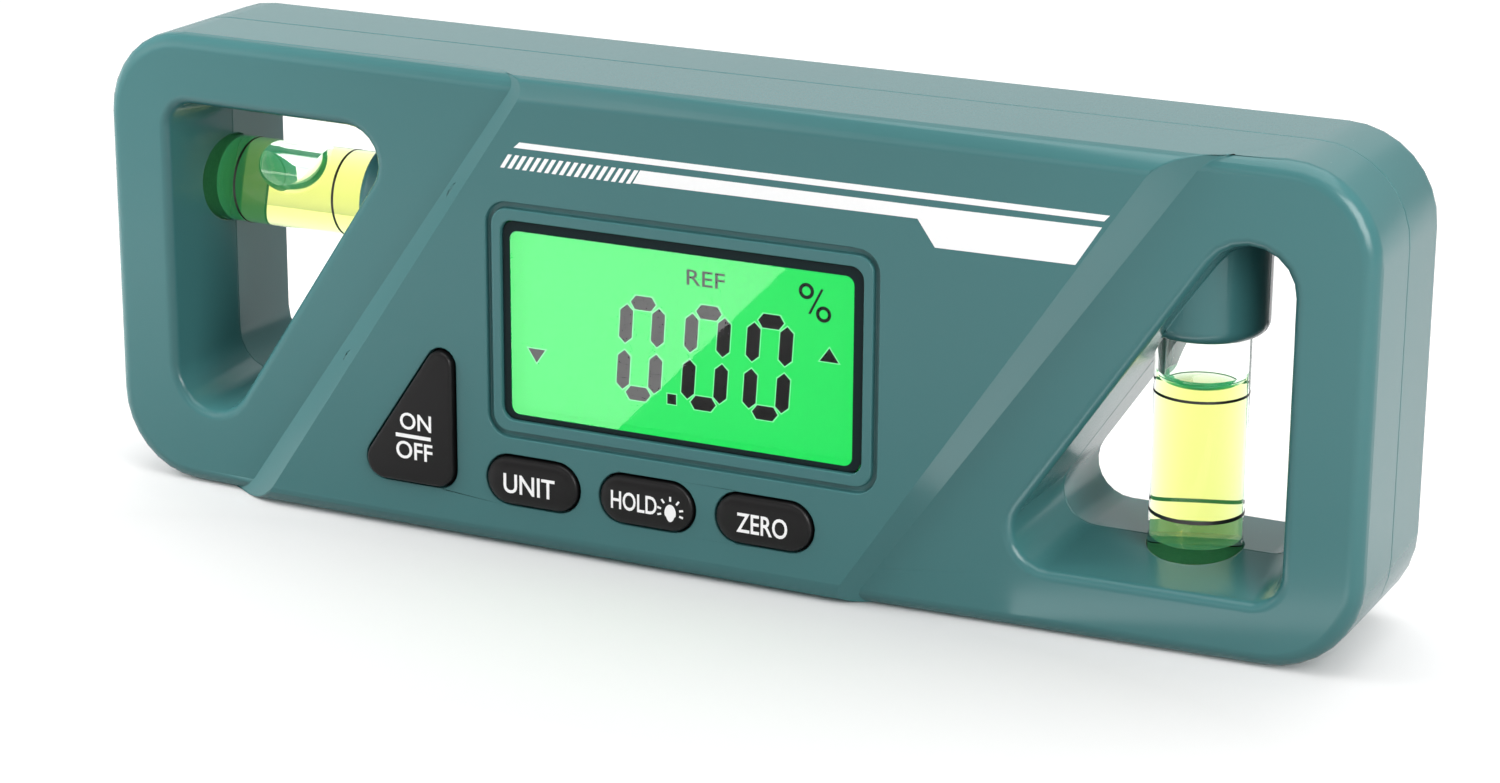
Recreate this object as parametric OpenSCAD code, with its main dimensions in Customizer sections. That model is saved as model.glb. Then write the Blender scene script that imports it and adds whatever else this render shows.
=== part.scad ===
// Digital angle gauge: a pocket level with a lit display, four keys and two bubble vials.
// X runs along the length, Y from front to back, Z up from the base. Millimetres.

/* [Body] */
// Length of the body, end to end
body_l = 150; // [142:1:170]
// Height of the body, base to top
body_h = 53; // [51:0.5:60]
// Depth of the front shell, from the panel's face to the parting plane
front_d = 13.8; // [13.4:0.1:18]
// Depth of the rear shell, from the parting plane to the back
rear_d = 11.2; // [10.8:0.1:15]
// Radius of the four outer corners
corner_r = 10; // [7:0.5:11]
// Rounding of the outer edges, front and rear
edge_r = 1.8; // [1:0.1:2.2]
// Thickness of the moulded walls
wall = 2; // [1.6:0.1:2.4]
// Thickness of the base's wall
base_wall = 2.5; // [2:0.1:3]

/* [Panel] */
// Height of the raised panel above the end frames
panel_step = 2.1; // [1:0.1:2.6]
// Half the panel's width at mid height
panel_half = 35.6; // [34:0.2:37]
// Slope of the panel's sides, from level
slant = 56; // [54:0.5:60]
// Width of the sloped bands beside the panel
band_run = 3.1; // [2:0.1:4]
// Rounding of the panel's top and bottom edges
panel_edge_r = 2.4; // [1:0.1:3]
// Angle at which the end frames lean back
frame_lean = 2; // [1:0.1:3]

/* [Windows] */
// Width of the upright post at each end, at the front
end_post = 8.4; // [8:0.1:11]
// Height of the rail above or below a window
rail_h = 8.4; // [8:0.1:10]
// Distance from the middle to a window's slanted side, at mid height
window_half = 47.5; // [46:0.1:49]
// Radius of the window's narrow corner
tip_r = 4.8; // [4:0.1:5.5]
// Radius of the window's wide slanted corner
heel_r = 4; // [3:0.1:5]
// Radius of the window's square corner
square_r = 3; // [2:0.1:4]
// Rounding of the window's front edge
front_flare = 1.2; // [0.8:0.1:2]
// Rounding of the window's rear edge
rear_flare = 0.5; // [0.3:0.1:1]
// How far the window's sides close in towards the parting plane
window_draft = 0.2; // [0.1:0.1:0.6]
// How far the window's end wall closes in behind its front edge
end_draft = 1.4; // [0.6:0.1:1.6]
// How far the level window's roof closes in behind its front edge
roof_draft = 0.4; // [0.2:0.1:1.6]
// How far the plumb window's floor closes in behind its front edge
floor_draft = 1.4; // [0.6:0.1:1.6]

/* [Display] */
// Width of the display's opening
display_w = 43.2; // [40:0.1:44]
// Height of the display's opening
display_h = 22.6; // [20:0.1:22.8]
// Height of the display's centre above the base
display_z = 26.2; // [25.6:0.1:27]
// Corner radius of the display's opening
display_r = 1.5; // [1:0.1:2]
// Plain margin between the opening and the moulded groove, at the sides
groove_margin_x = 1.1; // [0.8:0.1:1.4]
// Plain margin between the opening and the moulded groove, above and below
groove_margin_z = 1.3; // [0.8:0.1:1.7]
// Width of the moulded groove
groove_w = 0.7; // [0.5:0.1:0.9]
// Depth of the moulded groove
groove_depth = 0.7; // [0.2:0.1:0.8]
// How far the lens lies below the panel
lens_recess = 0.5; // [0.2:0.1:1]
// Width of the flange that holds the lens behind the panel
lens_lip = 1.4; // [1:0.1:1.5]
// Thickness of that flange
lens_flange = 0.8; // [0.6:0.1:1]
// Clearance round the lens
lens_gap = 0.1; // [0.05:0.05:0.2]
// Thickness of the liquid crystal panel
lcd_t = 1.8; // [1.4:0.1:2]
// Thickness of the light guide behind it
backlight_t = 2.2; // [1.8:0.1:2.4]
// Width of the contact strip below the light guide
strip_w = 2.2; // [1.5:0.1:2.4]
// Wall of the frame that holds the display
holder_wall = 1.1; // [0.9:0.1:1.1]
// Clearance round that frame
holder_gap = 0.3; // [0.2:0.05:0.4]

/* [Keys] */
// Width of a small key
key_w = 11.3; // [10:0.1:12]
// Height of a small key
key_h = 5.4; // [5:0.1:5.6]
// Distance from one small key to the next
key_pitch = 14.1; // [13.8:0.1:14.6]
// Place of the first small key, to the left of the middle
key_first = 17.8; // [17:0.1:18.5]
// Height of the small keys above the base
key_z = 8; // [7.6:0.1:8.2]
// Right edge of the power key, to the left of the middle
power_right = 27.7; // [27.4:0.1:28.5]
// Bottom edge of the power key above the base
power_bottom = 5.9; // [5.6:0.1:7]
// Width of the power key at its foot, before its corners are rounded
power_w = 13.1; // [11:0.1:13.4]
// Radius of the power key's lower corners
power_foot_r = 2.2; // [1.8:0.1:2.4]
// Radius of the power key's upper corner
power_tip_r = 1.6; // [1.4:0.1:2]
// How far a key stands out of the panel
key_proud = 0.7; // [0.3:0.1:1]
// How far a key travels when it is pressed
key_travel = 0.8; // [0.4:0.1:1]
// Clearance round a key
key_gap = 0.25; // [0.2:0.05:0.4]
// Rounding of a key's rim
key_rim = 0.6; // [0.3:0.1:0.8]
// Width of a key's flange behind the panel
flange_w = 0.8; // [0.6:0.1:0.9]
// Thickness of a key's flange
flange_t = 0.8; // [0.6:0.1:1]
// Side of a key switch's case
switch_w = 4.5; // [4:0.1:5]
// Height of a key switch's case
switch_h = 1.6; // [1.2:0.1:2]
// Diameter of a key switch's plunger
plunger_d = 2.2; // [1.8:0.1:2.6]

/* [Vials] */
// Outside diameter of a vial
vial_d = 10; // [9:0.1:10.4]
// Length of a vial
vial_l = 28; // [26:0.5:29]
// Diameter of the vial's chamber
chamber_d = 7.8; // [6.5:0.1:8]
// Thickness of the vial's closed end
vial_end = 1.6; // [1.2:0.1:2]
// Length of the plug in the vial's open end
plug_l = 2.6; // [2:0.1:4]
// Clearance round a vial in its sockets
vial_gap = 0.1; // [0.05:0.05:0.2]
// Clearance round the fluid and the plug in the chamber
chamber_gap = 0.02; // [0.01:0.01:0.05]
// Height of the level vial below the top of the body
level_drop = 18.8; // [17.8:0.1:19.2]
// Depth of the level vial's socket in the end post
post_socket = 1; // [0.8:0.1:2]
// Depth of the level vial's collar
level_socket = 6.3; // [4.5:0.1:7]
// Distance of the plumb vial from its end post
plumb_in = 12.7; // [11.6:0.1:13]
// Depth of the plumb vial's socket in the bottom rail
rail_socket = 0.9; // [0.8:0.1:2]
// Depth of the plumb vial's collar
plumb_socket = 3.8; // [2.6:0.1:5]
// Outside radius of the vial collars
collar_r = 6.8; // [6.4:0.1:7.2]
// Rounding of a collar's lip
collar_lip = 1.6; // [0.6:0.1:1.6]
// Distance of the bubble's middle from the vial's closed end
bubble_mid = 11; // [10:0.1:13]
// Length of the bubble
bubble_l = 8.6; // [6:0.1:10]
// Diameter of the bubble
bubble_d = 5.6; // [4:0.1:6]
// Air space above the fluid in the upright vial
plumb_air = 8.3; // [4:0.1:9]

/* [Inside] */
// Thickness of the circuit board
board_t = 1.2; // [1:0.1:1.6]
// Height of the board's lower edge above the base
board_z0 = 5; // [4.6:0.1:5.4]
// How far the board reaches above the display's frame
board_over = 2.4; // [2:0.1:2.6]
// How far the board reaches to the left, behind the power key
board_ear = 43; // [42:0.1:43.2]
// Height of that part of the board above the base
board_ear_z = 21; // [20:0.5:23]
// Radius of the board's posts
post_r = 2.2; // [2:0.1:2.3]
// Side of the control chip
chip_w = 9; // [6:0.5:10]
// Side of the tilt sensor
sensor_w = 4; // [3:0.5:6]
// Height of the chips
chip_h = 1.1; // [0.8:0.1:1.2]
// Diameter of a battery cell
cell_d = 10.5; // [10:0.1:10.6]
// Length of a battery cell, with its button
cell_l = 44.5; // [43.5:0.1:45]
// Clearance round a cell
cell_gap = 0.2; // [0.1:0.05:0.3]
// Compressed length of a cell's spring
spring_l = 4.6; // [4:0.1:5.5]
// Diameter of the spring wire
spring_wire = 0.6; // [0.5:0.05:0.7]
// Thickness of the contact plates
contact_t = 0.4; // [0.3:0.05:0.5]
// Wall of the battery tray
tray_wall = 1.2; // [1:0.1:1.5]
// Width of the ledge that the battery door rests on
door_ledge = 3.6; // [3:0.1:4]
// Thickness of the battery door
door_t = 1.7; // [1.5:0.1:1.9]
// Clearance round the battery door
door_gap = 0.25; // [0.2:0.05:0.4]
// Corner radius of the battery door
door_r = 2.5; // [1.5:0.1:3]
// Distance of the base magnets from the end posts
magnet_in = 5.4; // [5:0.1:8]
// Diameter of a base magnet
magnet_d = 7; // [5:0.5:7.5]
// Thickness of a base magnet
magnet_t = 3; // [2:0.1:3.2]

/* [Fasteners] */
// Distance of the corner screws from the end of the body
screw_end = 6; // [5.6:0.1:6.2]
// Distance of the corner screws from the top or the base
screw_edge = 6; // [5.6:0.1:6.2]
// Distance of the middle screws from the centre
screw_mid = 47; // [46.5:0.1:48]
// How much further in from the top or the base the middle screws sit
screw_mid_in = 0.9; // [0.6:0.1:1.2]
// Diameter of a case screw's shank
screw_d = 2.2; // [2:0.1:2.6]
// Diameter of a case screw's head
head_d = 4.4; // [4:0.1:4.6]
// Height of a screw's head
head_h = 1.5; // [1.2:0.1:1.8]
// Length of a case screw below its head
screw_l = 11; // [9:0.5:11.5]
// Depth of a case screw's head below the back
screw_sink = 7; // [5:0.1:8]
// Clearance round a screw
screw_gap = 0.2; // [0.1:0.05:0.3]
// Diameter of a board screw's shank
board_screw_d = 1.6; // [1.4:0.1:1.8]
// Diameter of a board screw's head
board_head_d = 3.4; // [3:0.1:3.6]
// Length of a board screw below its head
board_screw_l = 4.6; // [4:0.1:5]

/* [Hidden] */
$fn = 48;

// Facets of a rounded corner and of a rounded edge
corner_steps = 8;
edge_steps = 5;
// How far a cut runs past the face it opens
past = 2;

shell_color = [0.31, 0.51, 0.5];
key_color = [0.19, 0.18, 0.19];
steel_color = [0.75, 0.76, 0.78];

// Depths, from the front of the keys to the back, with the part centred in depth
y_panel = key_proud - (front_d + rear_d + key_proud) / 2;
y_part = y_panel + front_d;
y_back = y_part + rear_d;
y_inner = y_panel + wall;
y_lcd = y_inner + lens_flange;
y_light = y_lcd + lcd_t;
y_board = y_light + backlight_t;
y_board_back = y_board + board_t;
y_door = y_back - door_t;
cell_y = y_door - door_gap - cell_d / 2;
y_tray = cell_y - cell_d / 2 - cell_gap;

rise = tan(slant);
lean = tan(frame_lean);
mid_z = body_h / 2;
half_l = body_l / 2;
// Walls inside the shells are thinner than the outer ones
thin_wall = wall * 0.6;

// The end frame's face at a place along the left half: it leans back from the panel's foot
frame_foot = panel_half + band_run;
function frame_y(x) = y_panel + panel_step + lean * (-x - frame_foot);

// Places of the vials
level_z = body_h - level_drop;
level_x0 = -half_l + end_post + end_draft - post_socket;
level_x1 = level_x0 + vial_l;
plumb_x = half_l - end_post - plumb_in;
plumb_z0 = rail_h - rail_socket;
plumb_z1 = plumb_z0 + vial_l;

// Places of the keys, the board's posts and the screws
small_keys = [for (i = [0:2]) -key_first + i * key_pitch];
power_spot = [-power_right - power_w * 0.32, power_bottom + power_w * 0.42];
power_corners = [
    [-power_right, power_bottom],
    [-power_right, power_bottom + power_w * rise],
    [-power_right - power_w, power_bottom]
];
power_radii = [power_foot_r, power_tip_r, power_foot_r];
holder_w = display_w + 2 * (lens_lip + holder_wall + lens_gap);
holder_h = display_h + 2 * (lens_lip + holder_wall + lens_gap);
post_edge = 0.4;
board_half = holder_w / 2 + 2 * post_r + post_edge;
board_z1 = display_z + holder_h / 2 + board_over;
board_notch = [2, 8];
board_posts = [
    [-board_ear + post_r + post_edge, board_ear_z - post_r - 2 * post_edge],
    [panel_half + (key_z - mid_z) / rise - post_r - post_edge, key_z],
    [-board_half + post_r + post_edge / 2, board_z1 - post_r - 4 * post_edge],
    [board_half - post_r - post_edge / 2, board_z1 - post_r - 4 * post_edge]
];
chip_x = display_w * 0.14;
sensor_x = -display_w * 0.32;
screw_spots = [
    [-half_l + screw_end, screw_edge], [half_l - screw_end, screw_edge],
    [-half_l + screw_end, body_h - screw_edge], [half_l - screw_end, body_h - screw_edge],
    [-screw_mid, screw_edge + screw_mid_in], [screw_mid, body_h - screw_edge - screw_mid_in]
];
screw_seat = y_back - screw_sink;
screw_boss_r = head_d / 2 + screw_gap + thin_wall;
magnet_x = half_l - end_post - magnet_in;
magnet_spots = [
    for (side = [-1, 1]) [side * magnet_x, (y_part + frame_y(-half_l) + edge_r) / 2],
    for (side = [-1, 1]) [side * magnet_x, (y_part + y_back - edge_r) / 2]
];
magnet_gap = 0.05;

// Battery tray, door and contacts
tray_l = cell_l + spring_l + 2 * contact_t + 2 * cell_gap;
tray_h = 2 * cell_d + 3 * cell_gap;
tray_x = tray_l / 2;
cell_z = [mid_z + cell_d / 2 + cell_gap / 2, mid_z - cell_d / 2 - cell_gap / 2];
door_w = tray_l + 2 * door_ledge;
door_h = tray_h + 2 * door_ledge;
button_l = 1;
button_r = cell_d * 0.18;

// Points of a rounded convex outline, given counter-clockwise, grown outwards by grow
function unit(v) = v / norm(v);
function before(list, i) = list[(i + len(list) - 1) % len(list)];
function after(list, i) = list[(i + 1) % len(list)];
function heading(v) = atan2(-v.x, v.y);
function outline(corners, radii, grow = 0) = [
    for (i = [0:len(corners) - 1])
        let (
            back = unit(before(corners, i) - corners[i]),
            on = unit(after(corners, i) - corners[i]),
            half = acos(back * on) / 2,
            centre = corners[i] + unit(back + on) * radii[i] / sin(half),
            start = heading(-back),
            turn = (heading(on) - start + 720) % 360
        )
        for (k = [0:corner_steps])
            let (a = start + turn * k / corner_steps)
            centre + (radii[i] + grow) * [cos(a), sin(a)]
];

// A section of a loft: an outline stood upright at depth y, which leans back to the left
function level_section(points, y, slope = 0) =
    [for (p = points) [p.x, y - slope * p.x, p.y]];

// A solid through a row of sections, front to back
module loft(sections) {
    n = len(sections[0]);
    last = len(sections) - 1;
    polyhedron(
        points = [for (s = sections) each s],
        faces = concat(
            [[for (j = [n - 1:-1:0]) j]],
            [for (i = [0:last - 1], j = [0:n - 1])
                [i * n + j, i * n + (j + 1) % n, (i + 1) * n + (j + 1) % n, (i + 1) * n + j]],
            [[for (j = [0:n - 1]) last * n + j]]
        ),
        convexity = 6
    );
}

// An outline pulled from y0 to y1
module slab(points, y0, y1) {
    translate([0, y1, 0])
        rotate([90, 0, 0])
            linear_extrude(y1 - y0) polygon(points);
}

// A box between two corners
module block(low, high) {
    translate(low) cube(high - low);
}

// A round bar along Y, at a place on the front
module bar_y(spot, r, y0, y1) {
    translate([spot.x, y0, spot.y])
        rotate([-90, 0, 0]) cylinder(r = r, h = y1 - y0);
}

function rect(w, h, cx = 0, cz = 0) =
    [[cx - w / 2, cz - h / 2], [cx + w / 2, cz - h / 2], [cx + w / 2, cz + h / 2], [cx - w / 2, cz + h / 2]];

function rounded_rect(w, h, r, cx = 0, cz = 0) = outline(rect(w, h, cx, cz), [r, r, r, r]);

// The same thing turned half round about the middle of the front
module half_turn() {
    translate([0, 0, mid_z]) rotate([0, 180, 0]) translate([0, 0, -mid_z]) children();
}

// Left half of the front body: two round corners, a rounded edge and a face that leans back.
// It laps over the middle, where its inner corners lie under the raised panel.
module front_half() {
    lap = 1;
    inner_r = edge_r * 1.1;
    corners = [[-half_l, 0], [lap, 0], [lap, body_h], [-half_l, body_h]];
    radii = [corner_r, inner_r, inner_r, corner_r];
    y0 = frame_y(0);
    loft([
        for (i = [0:edge_steps])
            let (a = 90 * i / edge_steps)
            level_section(
                outline(corners, radii, -edge_r * (1 - sin(a))),
                y0 + edge_r * (1 - cos(a)), lean
            ),
        level_section(outline(corners, radii), y_part)
    ]);
}

// Raised panel: a slanted field with a sloped band on each side and soft top and bottom edges.
// The bands run on into the frames, to below the frames' rounded edges.
panel_foot = panel_step + edge_r + lean * mid_z / rise + edge_r / 10;
function panel_field(half, z0, z1) = [
    [-half + (z0 - mid_z) / rise, z0], [half + (z0 - mid_z) / rise, z0],
    [half + (z1 - mid_z) / rise, z1], [-half + (z1 - mid_z) / rise, z1]
];
module raised_panel() {
    loft([
        for (i = [0:edge_steps])
            let (
                a = 90 * i / edge_steps,
                depth = panel_edge_r * (1 - cos(a)),
                inset = panel_edge_r * (1 - sin(a))
            )
            level_section(
                panel_field(panel_half + band_run * depth / panel_step, inset, body_h - inset),
                y_panel + depth
            ),
        level_section(
            panel_field(panel_half + band_run * panel_foot / panel_step, 0, body_h),
            y_panel + panel_foot
        )
    ]);
}

module front_body() {
    front_half();
    half_turn() front_half();
    raised_panel();
    slab(panel_field(panel_half, 0, body_h), y_panel + panel_foot, y_part);
}

module rear_body() {
    corners = rect(body_l, body_h, 0, mid_z);
    radii = [corner_r, corner_r, corner_r, corner_r];
    loft([
        level_section(outline(corners, radii), y_part),
        for (i = [0:edge_steps])
            let (a = 90 * i / edge_steps)
            level_section(
                outline(corners, radii, -edge_r * (1 - cos(a))),
                y_back - edge_r * (1 - sin(a))
            )
    ]);
}

// Left window, cut right through: rounded at both faces, two of its sides closing in behind the front edge.
// Each rounding's first facet runs on past the face, so that the face cuts it cleanly.
window_radii = [square_r, tip_r, heel_r];
function window_corners(post, rail) =
    let (end = -half_l + post, top = body_h - rail)
    [
        [end, top],
        [end, mid_z + (end + window_half) * rise],
        [-window_half + (top - mid_z) / rise, top]
    ];
module window_cut(rail_draft) {
    y0 = frame_y(0);
    step = 90 / edge_steps;
    front = window_corners(end_post, rail_h - rail_draft);
    rear = window_corners(end_post + end_draft, rail_h);
    front_mouth = outline(front, window_radii, front_flare * (1 + sin(step)));
    rear_mouth = outline(rear, window_radii, rear_flare * (1 + sin(step)));
    loft([
        level_section(front_mouth, y0 - past, lean),
        level_section(front_mouth, y0 - front_flare * (1 - cos(step)), lean),
        for (i = [1:edge_steps])
            level_section(
                outline(front, window_radii, front_flare * (1 - sin(step * i))),
                y0 + front_flare * (1 - cos(step * i)), lean
            ),
        level_section(outline(rear, window_radii, -window_draft), y_part),
        for (i = [edge_steps:-1:1])
            level_section(
                outline(rear, window_radii, rear_flare * (1 - sin(step * i))),
                y_back - rear_flare * (1 - cos(step * i))
            ),
        level_section(rear_mouth, y_back + rear_flare * (1 - cos(step))),
        level_section(rear_mouth, y_back + past)
    ]);
}
module windows() {
    window_cut(roof_draft);
    half_turn() window_cut(floor_draft);
}

// Hollow between the windows: a slanted field, shallower beside the raised panel
cavity_half = window_half - wall / sin(slant);
module cavity(y0, y1, half) {
    slab(panel_field(half, base_wall, body_h - wall), y0, y1);
}

// Collars and sockets that hold the vials' ends; each collar is rooted in the wall behind it
level_root = max(level_x1 + wall, -window_half + (level_z + collar_r - mid_z) / rise);
plumb_root = body_h - rail_h + wall / 2;
module collar(length) {
    rotate_extrude()
        difference() {
            square([collar_r, length]);
            translate([collar_r - collar_lip, 0])
                difference() {
                    translate([0, -past]) square([collar_lip + past, collar_lip + past]);
                    translate([0, collar_lip]) circle(collar_lip);
                }
        }
}
module collars() {
    level_face = level_x1 - level_socket;
    plumb_face = plumb_z1 - plumb_socket;
    translate([level_face, y_part, level_z]) rotate([0, 90, 0]) collar(level_root - level_face);
    translate([plumb_x, y_part, plumb_face]) collar(plumb_root - plumb_face);
}
module sockets() {
    r = vial_d / 2 + vial_gap;
    translate([level_x0 - vial_gap, y_part, level_z])
        rotate([0, 90, 0]) cylinder(r = r, h = vial_l + 2 * vial_gap);
    translate([plumb_x, y_part, plumb_z0 - vial_gap])
        cylinder(r = r, h = vial_l + 2 * vial_gap);
}

module magnet_pockets() {
    for (spot = magnet_spots)
        translate([spot.x, spot.y, -past])
            cylinder(r = magnet_d / 2 + magnet_gap, h = magnet_t + 2 * magnet_gap + past);
}

// Key outlines on the panel; a small key's ends are all but half round
key_r = key_h * 0.498;
function small_key_outline(x, grow = 0) =
    outline(rect(key_w, key_h, x, key_z), [key_r, key_r, key_r, key_r], grow);
function power_outline(grow = 0) = outline(power_corners, power_radii, grow);

module front_shell() {
    color(shell_color)
    difference() {
        union() {
            difference() {
                front_body();
                windows();
                cavity(y_inner, y_part + past, panel_half - wall);
                cavity(frame_y(-half_l) + thin_wall, y_part + past, cavity_half);
                slab(
                    rect(holder_w + 2 * holder_gap, holder_h + 2 * holder_gap, 0, display_z),
                    y_inner, y_part + past
                );
            }
            intersection() {
                collars();
                block([-half_l, y_panel, 0], [half_l, y_part, body_h]);
            }
            for (spot = board_posts)
                bar_y(spot, post_r, y_inner - wall / 2, y_board);
            for (i = [4, 5])
                bar_y(screw_spots[i], screw_boss_r, y_panel + panel_step + wall, y_part);
        }
        sockets();
        magnet_pockets();
        slab(rounded_rect(display_w, display_h, display_r, 0, display_z), y_panel - past, y_inner + past);
        difference() {
            slab(
                rounded_rect(
                    display_w + 2 * (groove_margin_x + groove_w),
                    display_h + 2 * (groove_margin_z + groove_w),
                    display_r + groove_margin_x, 0, display_z
                ),
                y_panel - past, y_panel + groove_depth
            );
            slab(
                rounded_rect(
                    display_w + 2 * groove_margin_x,
                    display_h + 2 * groove_margin_z,
                    display_r + groove_margin_x - groove_w, 0, display_z
                ),
                y_panel - 2 * past, y_panel + 2 * groove_depth
            );
        }
        for (x = small_keys)
            slab(small_key_outline(x, key_gap), y_panel - past, y_inner + past);
        slab(power_outline(key_gap), y_panel - past, y_inner + past);
        for (spot = screw_spots)
            bar_y(spot, screw_d / 2, screw_seat - screw_l - screw_gap, y_part + past);
        for (spot = board_posts)
            bar_y(spot, board_screw_d / 2, y_board_back - board_screw_l - screw_gap, y_board + past);
    }
}

module rear_shell() {
    ledge = y_door - door_gap / 2;
    color(shell_color)
    difference() {
        union() {
            difference() {
                rear_body();
                windows();
                cavity(y_part - past, y_back - wall, cavity_half);
            }
            intersection() {
                collars();
                block([-half_l, y_part, 0], [half_l, y_back, body_h]);
            }
            block(
                [-tray_x - tray_wall, y_tray - tray_wall, mid_z - tray_h / 2 - tray_wall],
                [tray_x + tray_wall, y_back - wall / 2, mid_z + tray_h / 2 + tray_wall]
            );
            block(
                [-door_w / 2 - wall, ledge - wall, mid_z - door_h / 2 - wall],
                [door_w / 2 + wall, y_back - wall / 2, mid_z + door_h / 2 + wall]
            );
            for (i = [4, 5])
                bar_y(screw_spots[i], screw_boss_r, y_part, y_back - wall / 2);
        }
        sockets();
        magnet_pockets();
        block(
            [-tray_x, y_tray, mid_z - tray_h / 2],
            [tray_x, y_back + past, mid_z + tray_h / 2]
        );
        slab(
            rounded_rect(door_w + 2 * door_gap, door_h + 2 * door_gap, door_r + door_gap, 0, mid_z),
            ledge, y_back + past
        );
        for (spot = screw_spots) {
            bar_y(spot, screw_d / 2 + screw_gap, y_part - past, y_back);
            bar_y(spot, head_d / 2 + screw_gap, screw_seat, y_back + past);
        }
    }
}

// Rear door over the cells, with two locating ribs and a ribbed thumb grip
module battery_door() {
    rib_l = tray_l * 0.75;
    rib_t = 1;
    rib_in = 0.4;
    rib_h = 1;
    rib_root = 0.1;
    grip_w = 12;
    grip_t = 0.8;
    grip_depth = 0.5;
    grip_count = 5;
    grip_top = mid_z + door_h / 2 - door_r - grip_depth;
    color(shell_color)
    difference() {
        union() {
            slab(rounded_rect(door_w, door_h, door_r, 0, mid_z), y_door, y_back);
            for (side = [-1, 1])
                translate([0, y_door - rib_h / 2, mid_z + side * (tray_h / 2 - rib_in - rib_t / 2)])
                    cube([rib_l, rib_h + 2 * rib_root, rib_t], center = true);
        }
        for (i = [0:grip_count - 1])
            block(
                [-grip_w / 2, y_back - grip_depth, grip_top - 2 * i * grip_t],
                [grip_w / 2, y_back + past, grip_top + grip_t - 2 * i * grip_t]
            );
    }
}

// Clear lens: a plug in the panel's opening with a flange behind it
module display_lens() {
    color([0.85, 0.95, 0.9, 0.4])
    union() {
        slab(
            rounded_rect(display_w - 2 * lens_gap, display_h - 2 * lens_gap, display_r, 0, display_z),
            y_panel + lens_recess, y_lcd
        );
        slab(rect(display_w + 2 * lens_lip, display_h + 2 * lens_lip, 0, display_z), y_inner, y_lcd);
    }
}

module lcd_panel() {
    color([0.15, 0.9, 0.38])
        slab(rect(display_w + 2 * lens_lip, display_h + 2 * lens_lip, 0, display_z), y_lcd, y_light);
}

// The light guide leaves the contact strip free along the panel's lower edge
strip_gap = 0.3;
light_z0 = display_z - display_h / 2 - lens_lip + strip_w + 2 * strip_gap;
light_z1 = display_z + display_h / 2 + lens_lip;
module backlight() {
    color([0.92, 0.97, 0.9])
        block([-display_w / 2, y_light, light_z0], [display_w / 2, y_board, light_z1]);
}

module contact_strip() {
    color([0.85, 0.45, 0.5])
        block(
            [-display_w / 2, y_light, light_z0 - strip_gap - strip_w],
            [display_w / 2, y_board, light_z0 - strip_gap]
        );
}

// Frame on the board that keeps the panel and the light guide in line
module display_holder() {
    color([0.95, 0.95, 0.93])
    difference() {
        slab(rect(holder_w, holder_h, 0, display_z), y_lcd, y_board);
        slab(
            rect(holder_w - 2 * holder_wall, holder_h - 2 * holder_wall, 0, display_z),
            y_lcd - past, y_board + past
        );
    }
}

module main_board() {
    color([0.1, 0.35, 0.2])
    difference() {
        union() {
            block([-board_half, y_board, board_z0], [board_half - board_notch.x, y_board_back, board_z1]);
            block([-board_half, y_board, board_z0 + board_notch.y], [board_half, y_board_back, board_z1]);
            block([-board_ear, y_board, board_z0], [0, y_board_back, board_ear_z]);
        }
        for (spot = board_posts)
            bar_y(spot, board_screw_d / 2 + screw_gap, y_board - past, y_board_back + past);
    }
}

module chip(x, w) {
    block([x - w / 2, y_board_back, mid_z - w / 2], [x + w / 2, y_board_back + chip_h, mid_z + w / 2]);
}

module control_chip() {
    color([0.12, 0.12, 0.13]) chip(chip_x, chip_w);
}

module tilt_sensor() {
    color([0.2, 0.2, 0.22]) chip(sensor_x, sensor_w);
}

// A key's flange lies just clear of the panel, and its stem just clear of the switch's plunger
stem_clear = 0.1;
stem_l = 0.4;
stem_r = plunger_d * 0.64;
y_stem = y_inner + stem_clear + flange_t + stem_l;
switch_spots = [for (x = small_keys) [x, key_z], power_spot];
module key_switches() {
    color([0.2, 0.2, 0.2])
    for (spot = switch_spots)
        union() {
            block(
                [spot.x - switch_w / 2, y_board - switch_h, spot.y - switch_w / 2],
                [spot.x + switch_w / 2, y_board, spot.y + switch_w / 2]
            );
            bar_y(spot, plunger_d / 2, y_stem + key_travel + stem_clear, y_board - switch_h / 2);
        }
}

// A key: a rounded rim in front, a flange behind the panel and a stem
function key_rings(shape) = [
    for (i = [0:edge_steps - 1])
        let (a = 90 * i / (edge_steps - 1))
        level_section(shape[i], y_panel - key_proud + key_rim * (1 - cos(a))),
    level_section(shape[edge_steps], y_inner + stem_clear)
];
function rim_inset(i) = i >= edge_steps - 1 ? 0 : -key_rim * (1 - sin(90 * i / (edge_steps - 1)));

module small_key(x) {
    color(key_color)
    union() {
        loft(key_rings([for (i = [0:edge_steps]) small_key_outline(x, rim_inset(i))]));
        slab(small_key_outline(x, flange_w), y_inner + stem_clear, y_inner + stem_clear + flange_t);
        bar_y([x, key_z], stem_r, y_inner + stem_clear, y_stem);
    }
}

module unit_key() {
    small_key(small_keys[0]);
}

module hold_key() {
    small_key(small_keys[1]);
}

module zero_key() {
    small_key(small_keys[2]);
}

module power_key() {
    color(key_color)
    union() {
        loft(key_rings([for (i = [0:edge_steps]) power_outline(rim_inset(i))]));
        slab(power_outline(flange_w), y_inner + stem_clear, y_inner + stem_clear + flange_t);
        bar_y(power_spot, stem_r, y_inner + stem_clear, y_stem);
    }
}

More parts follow.
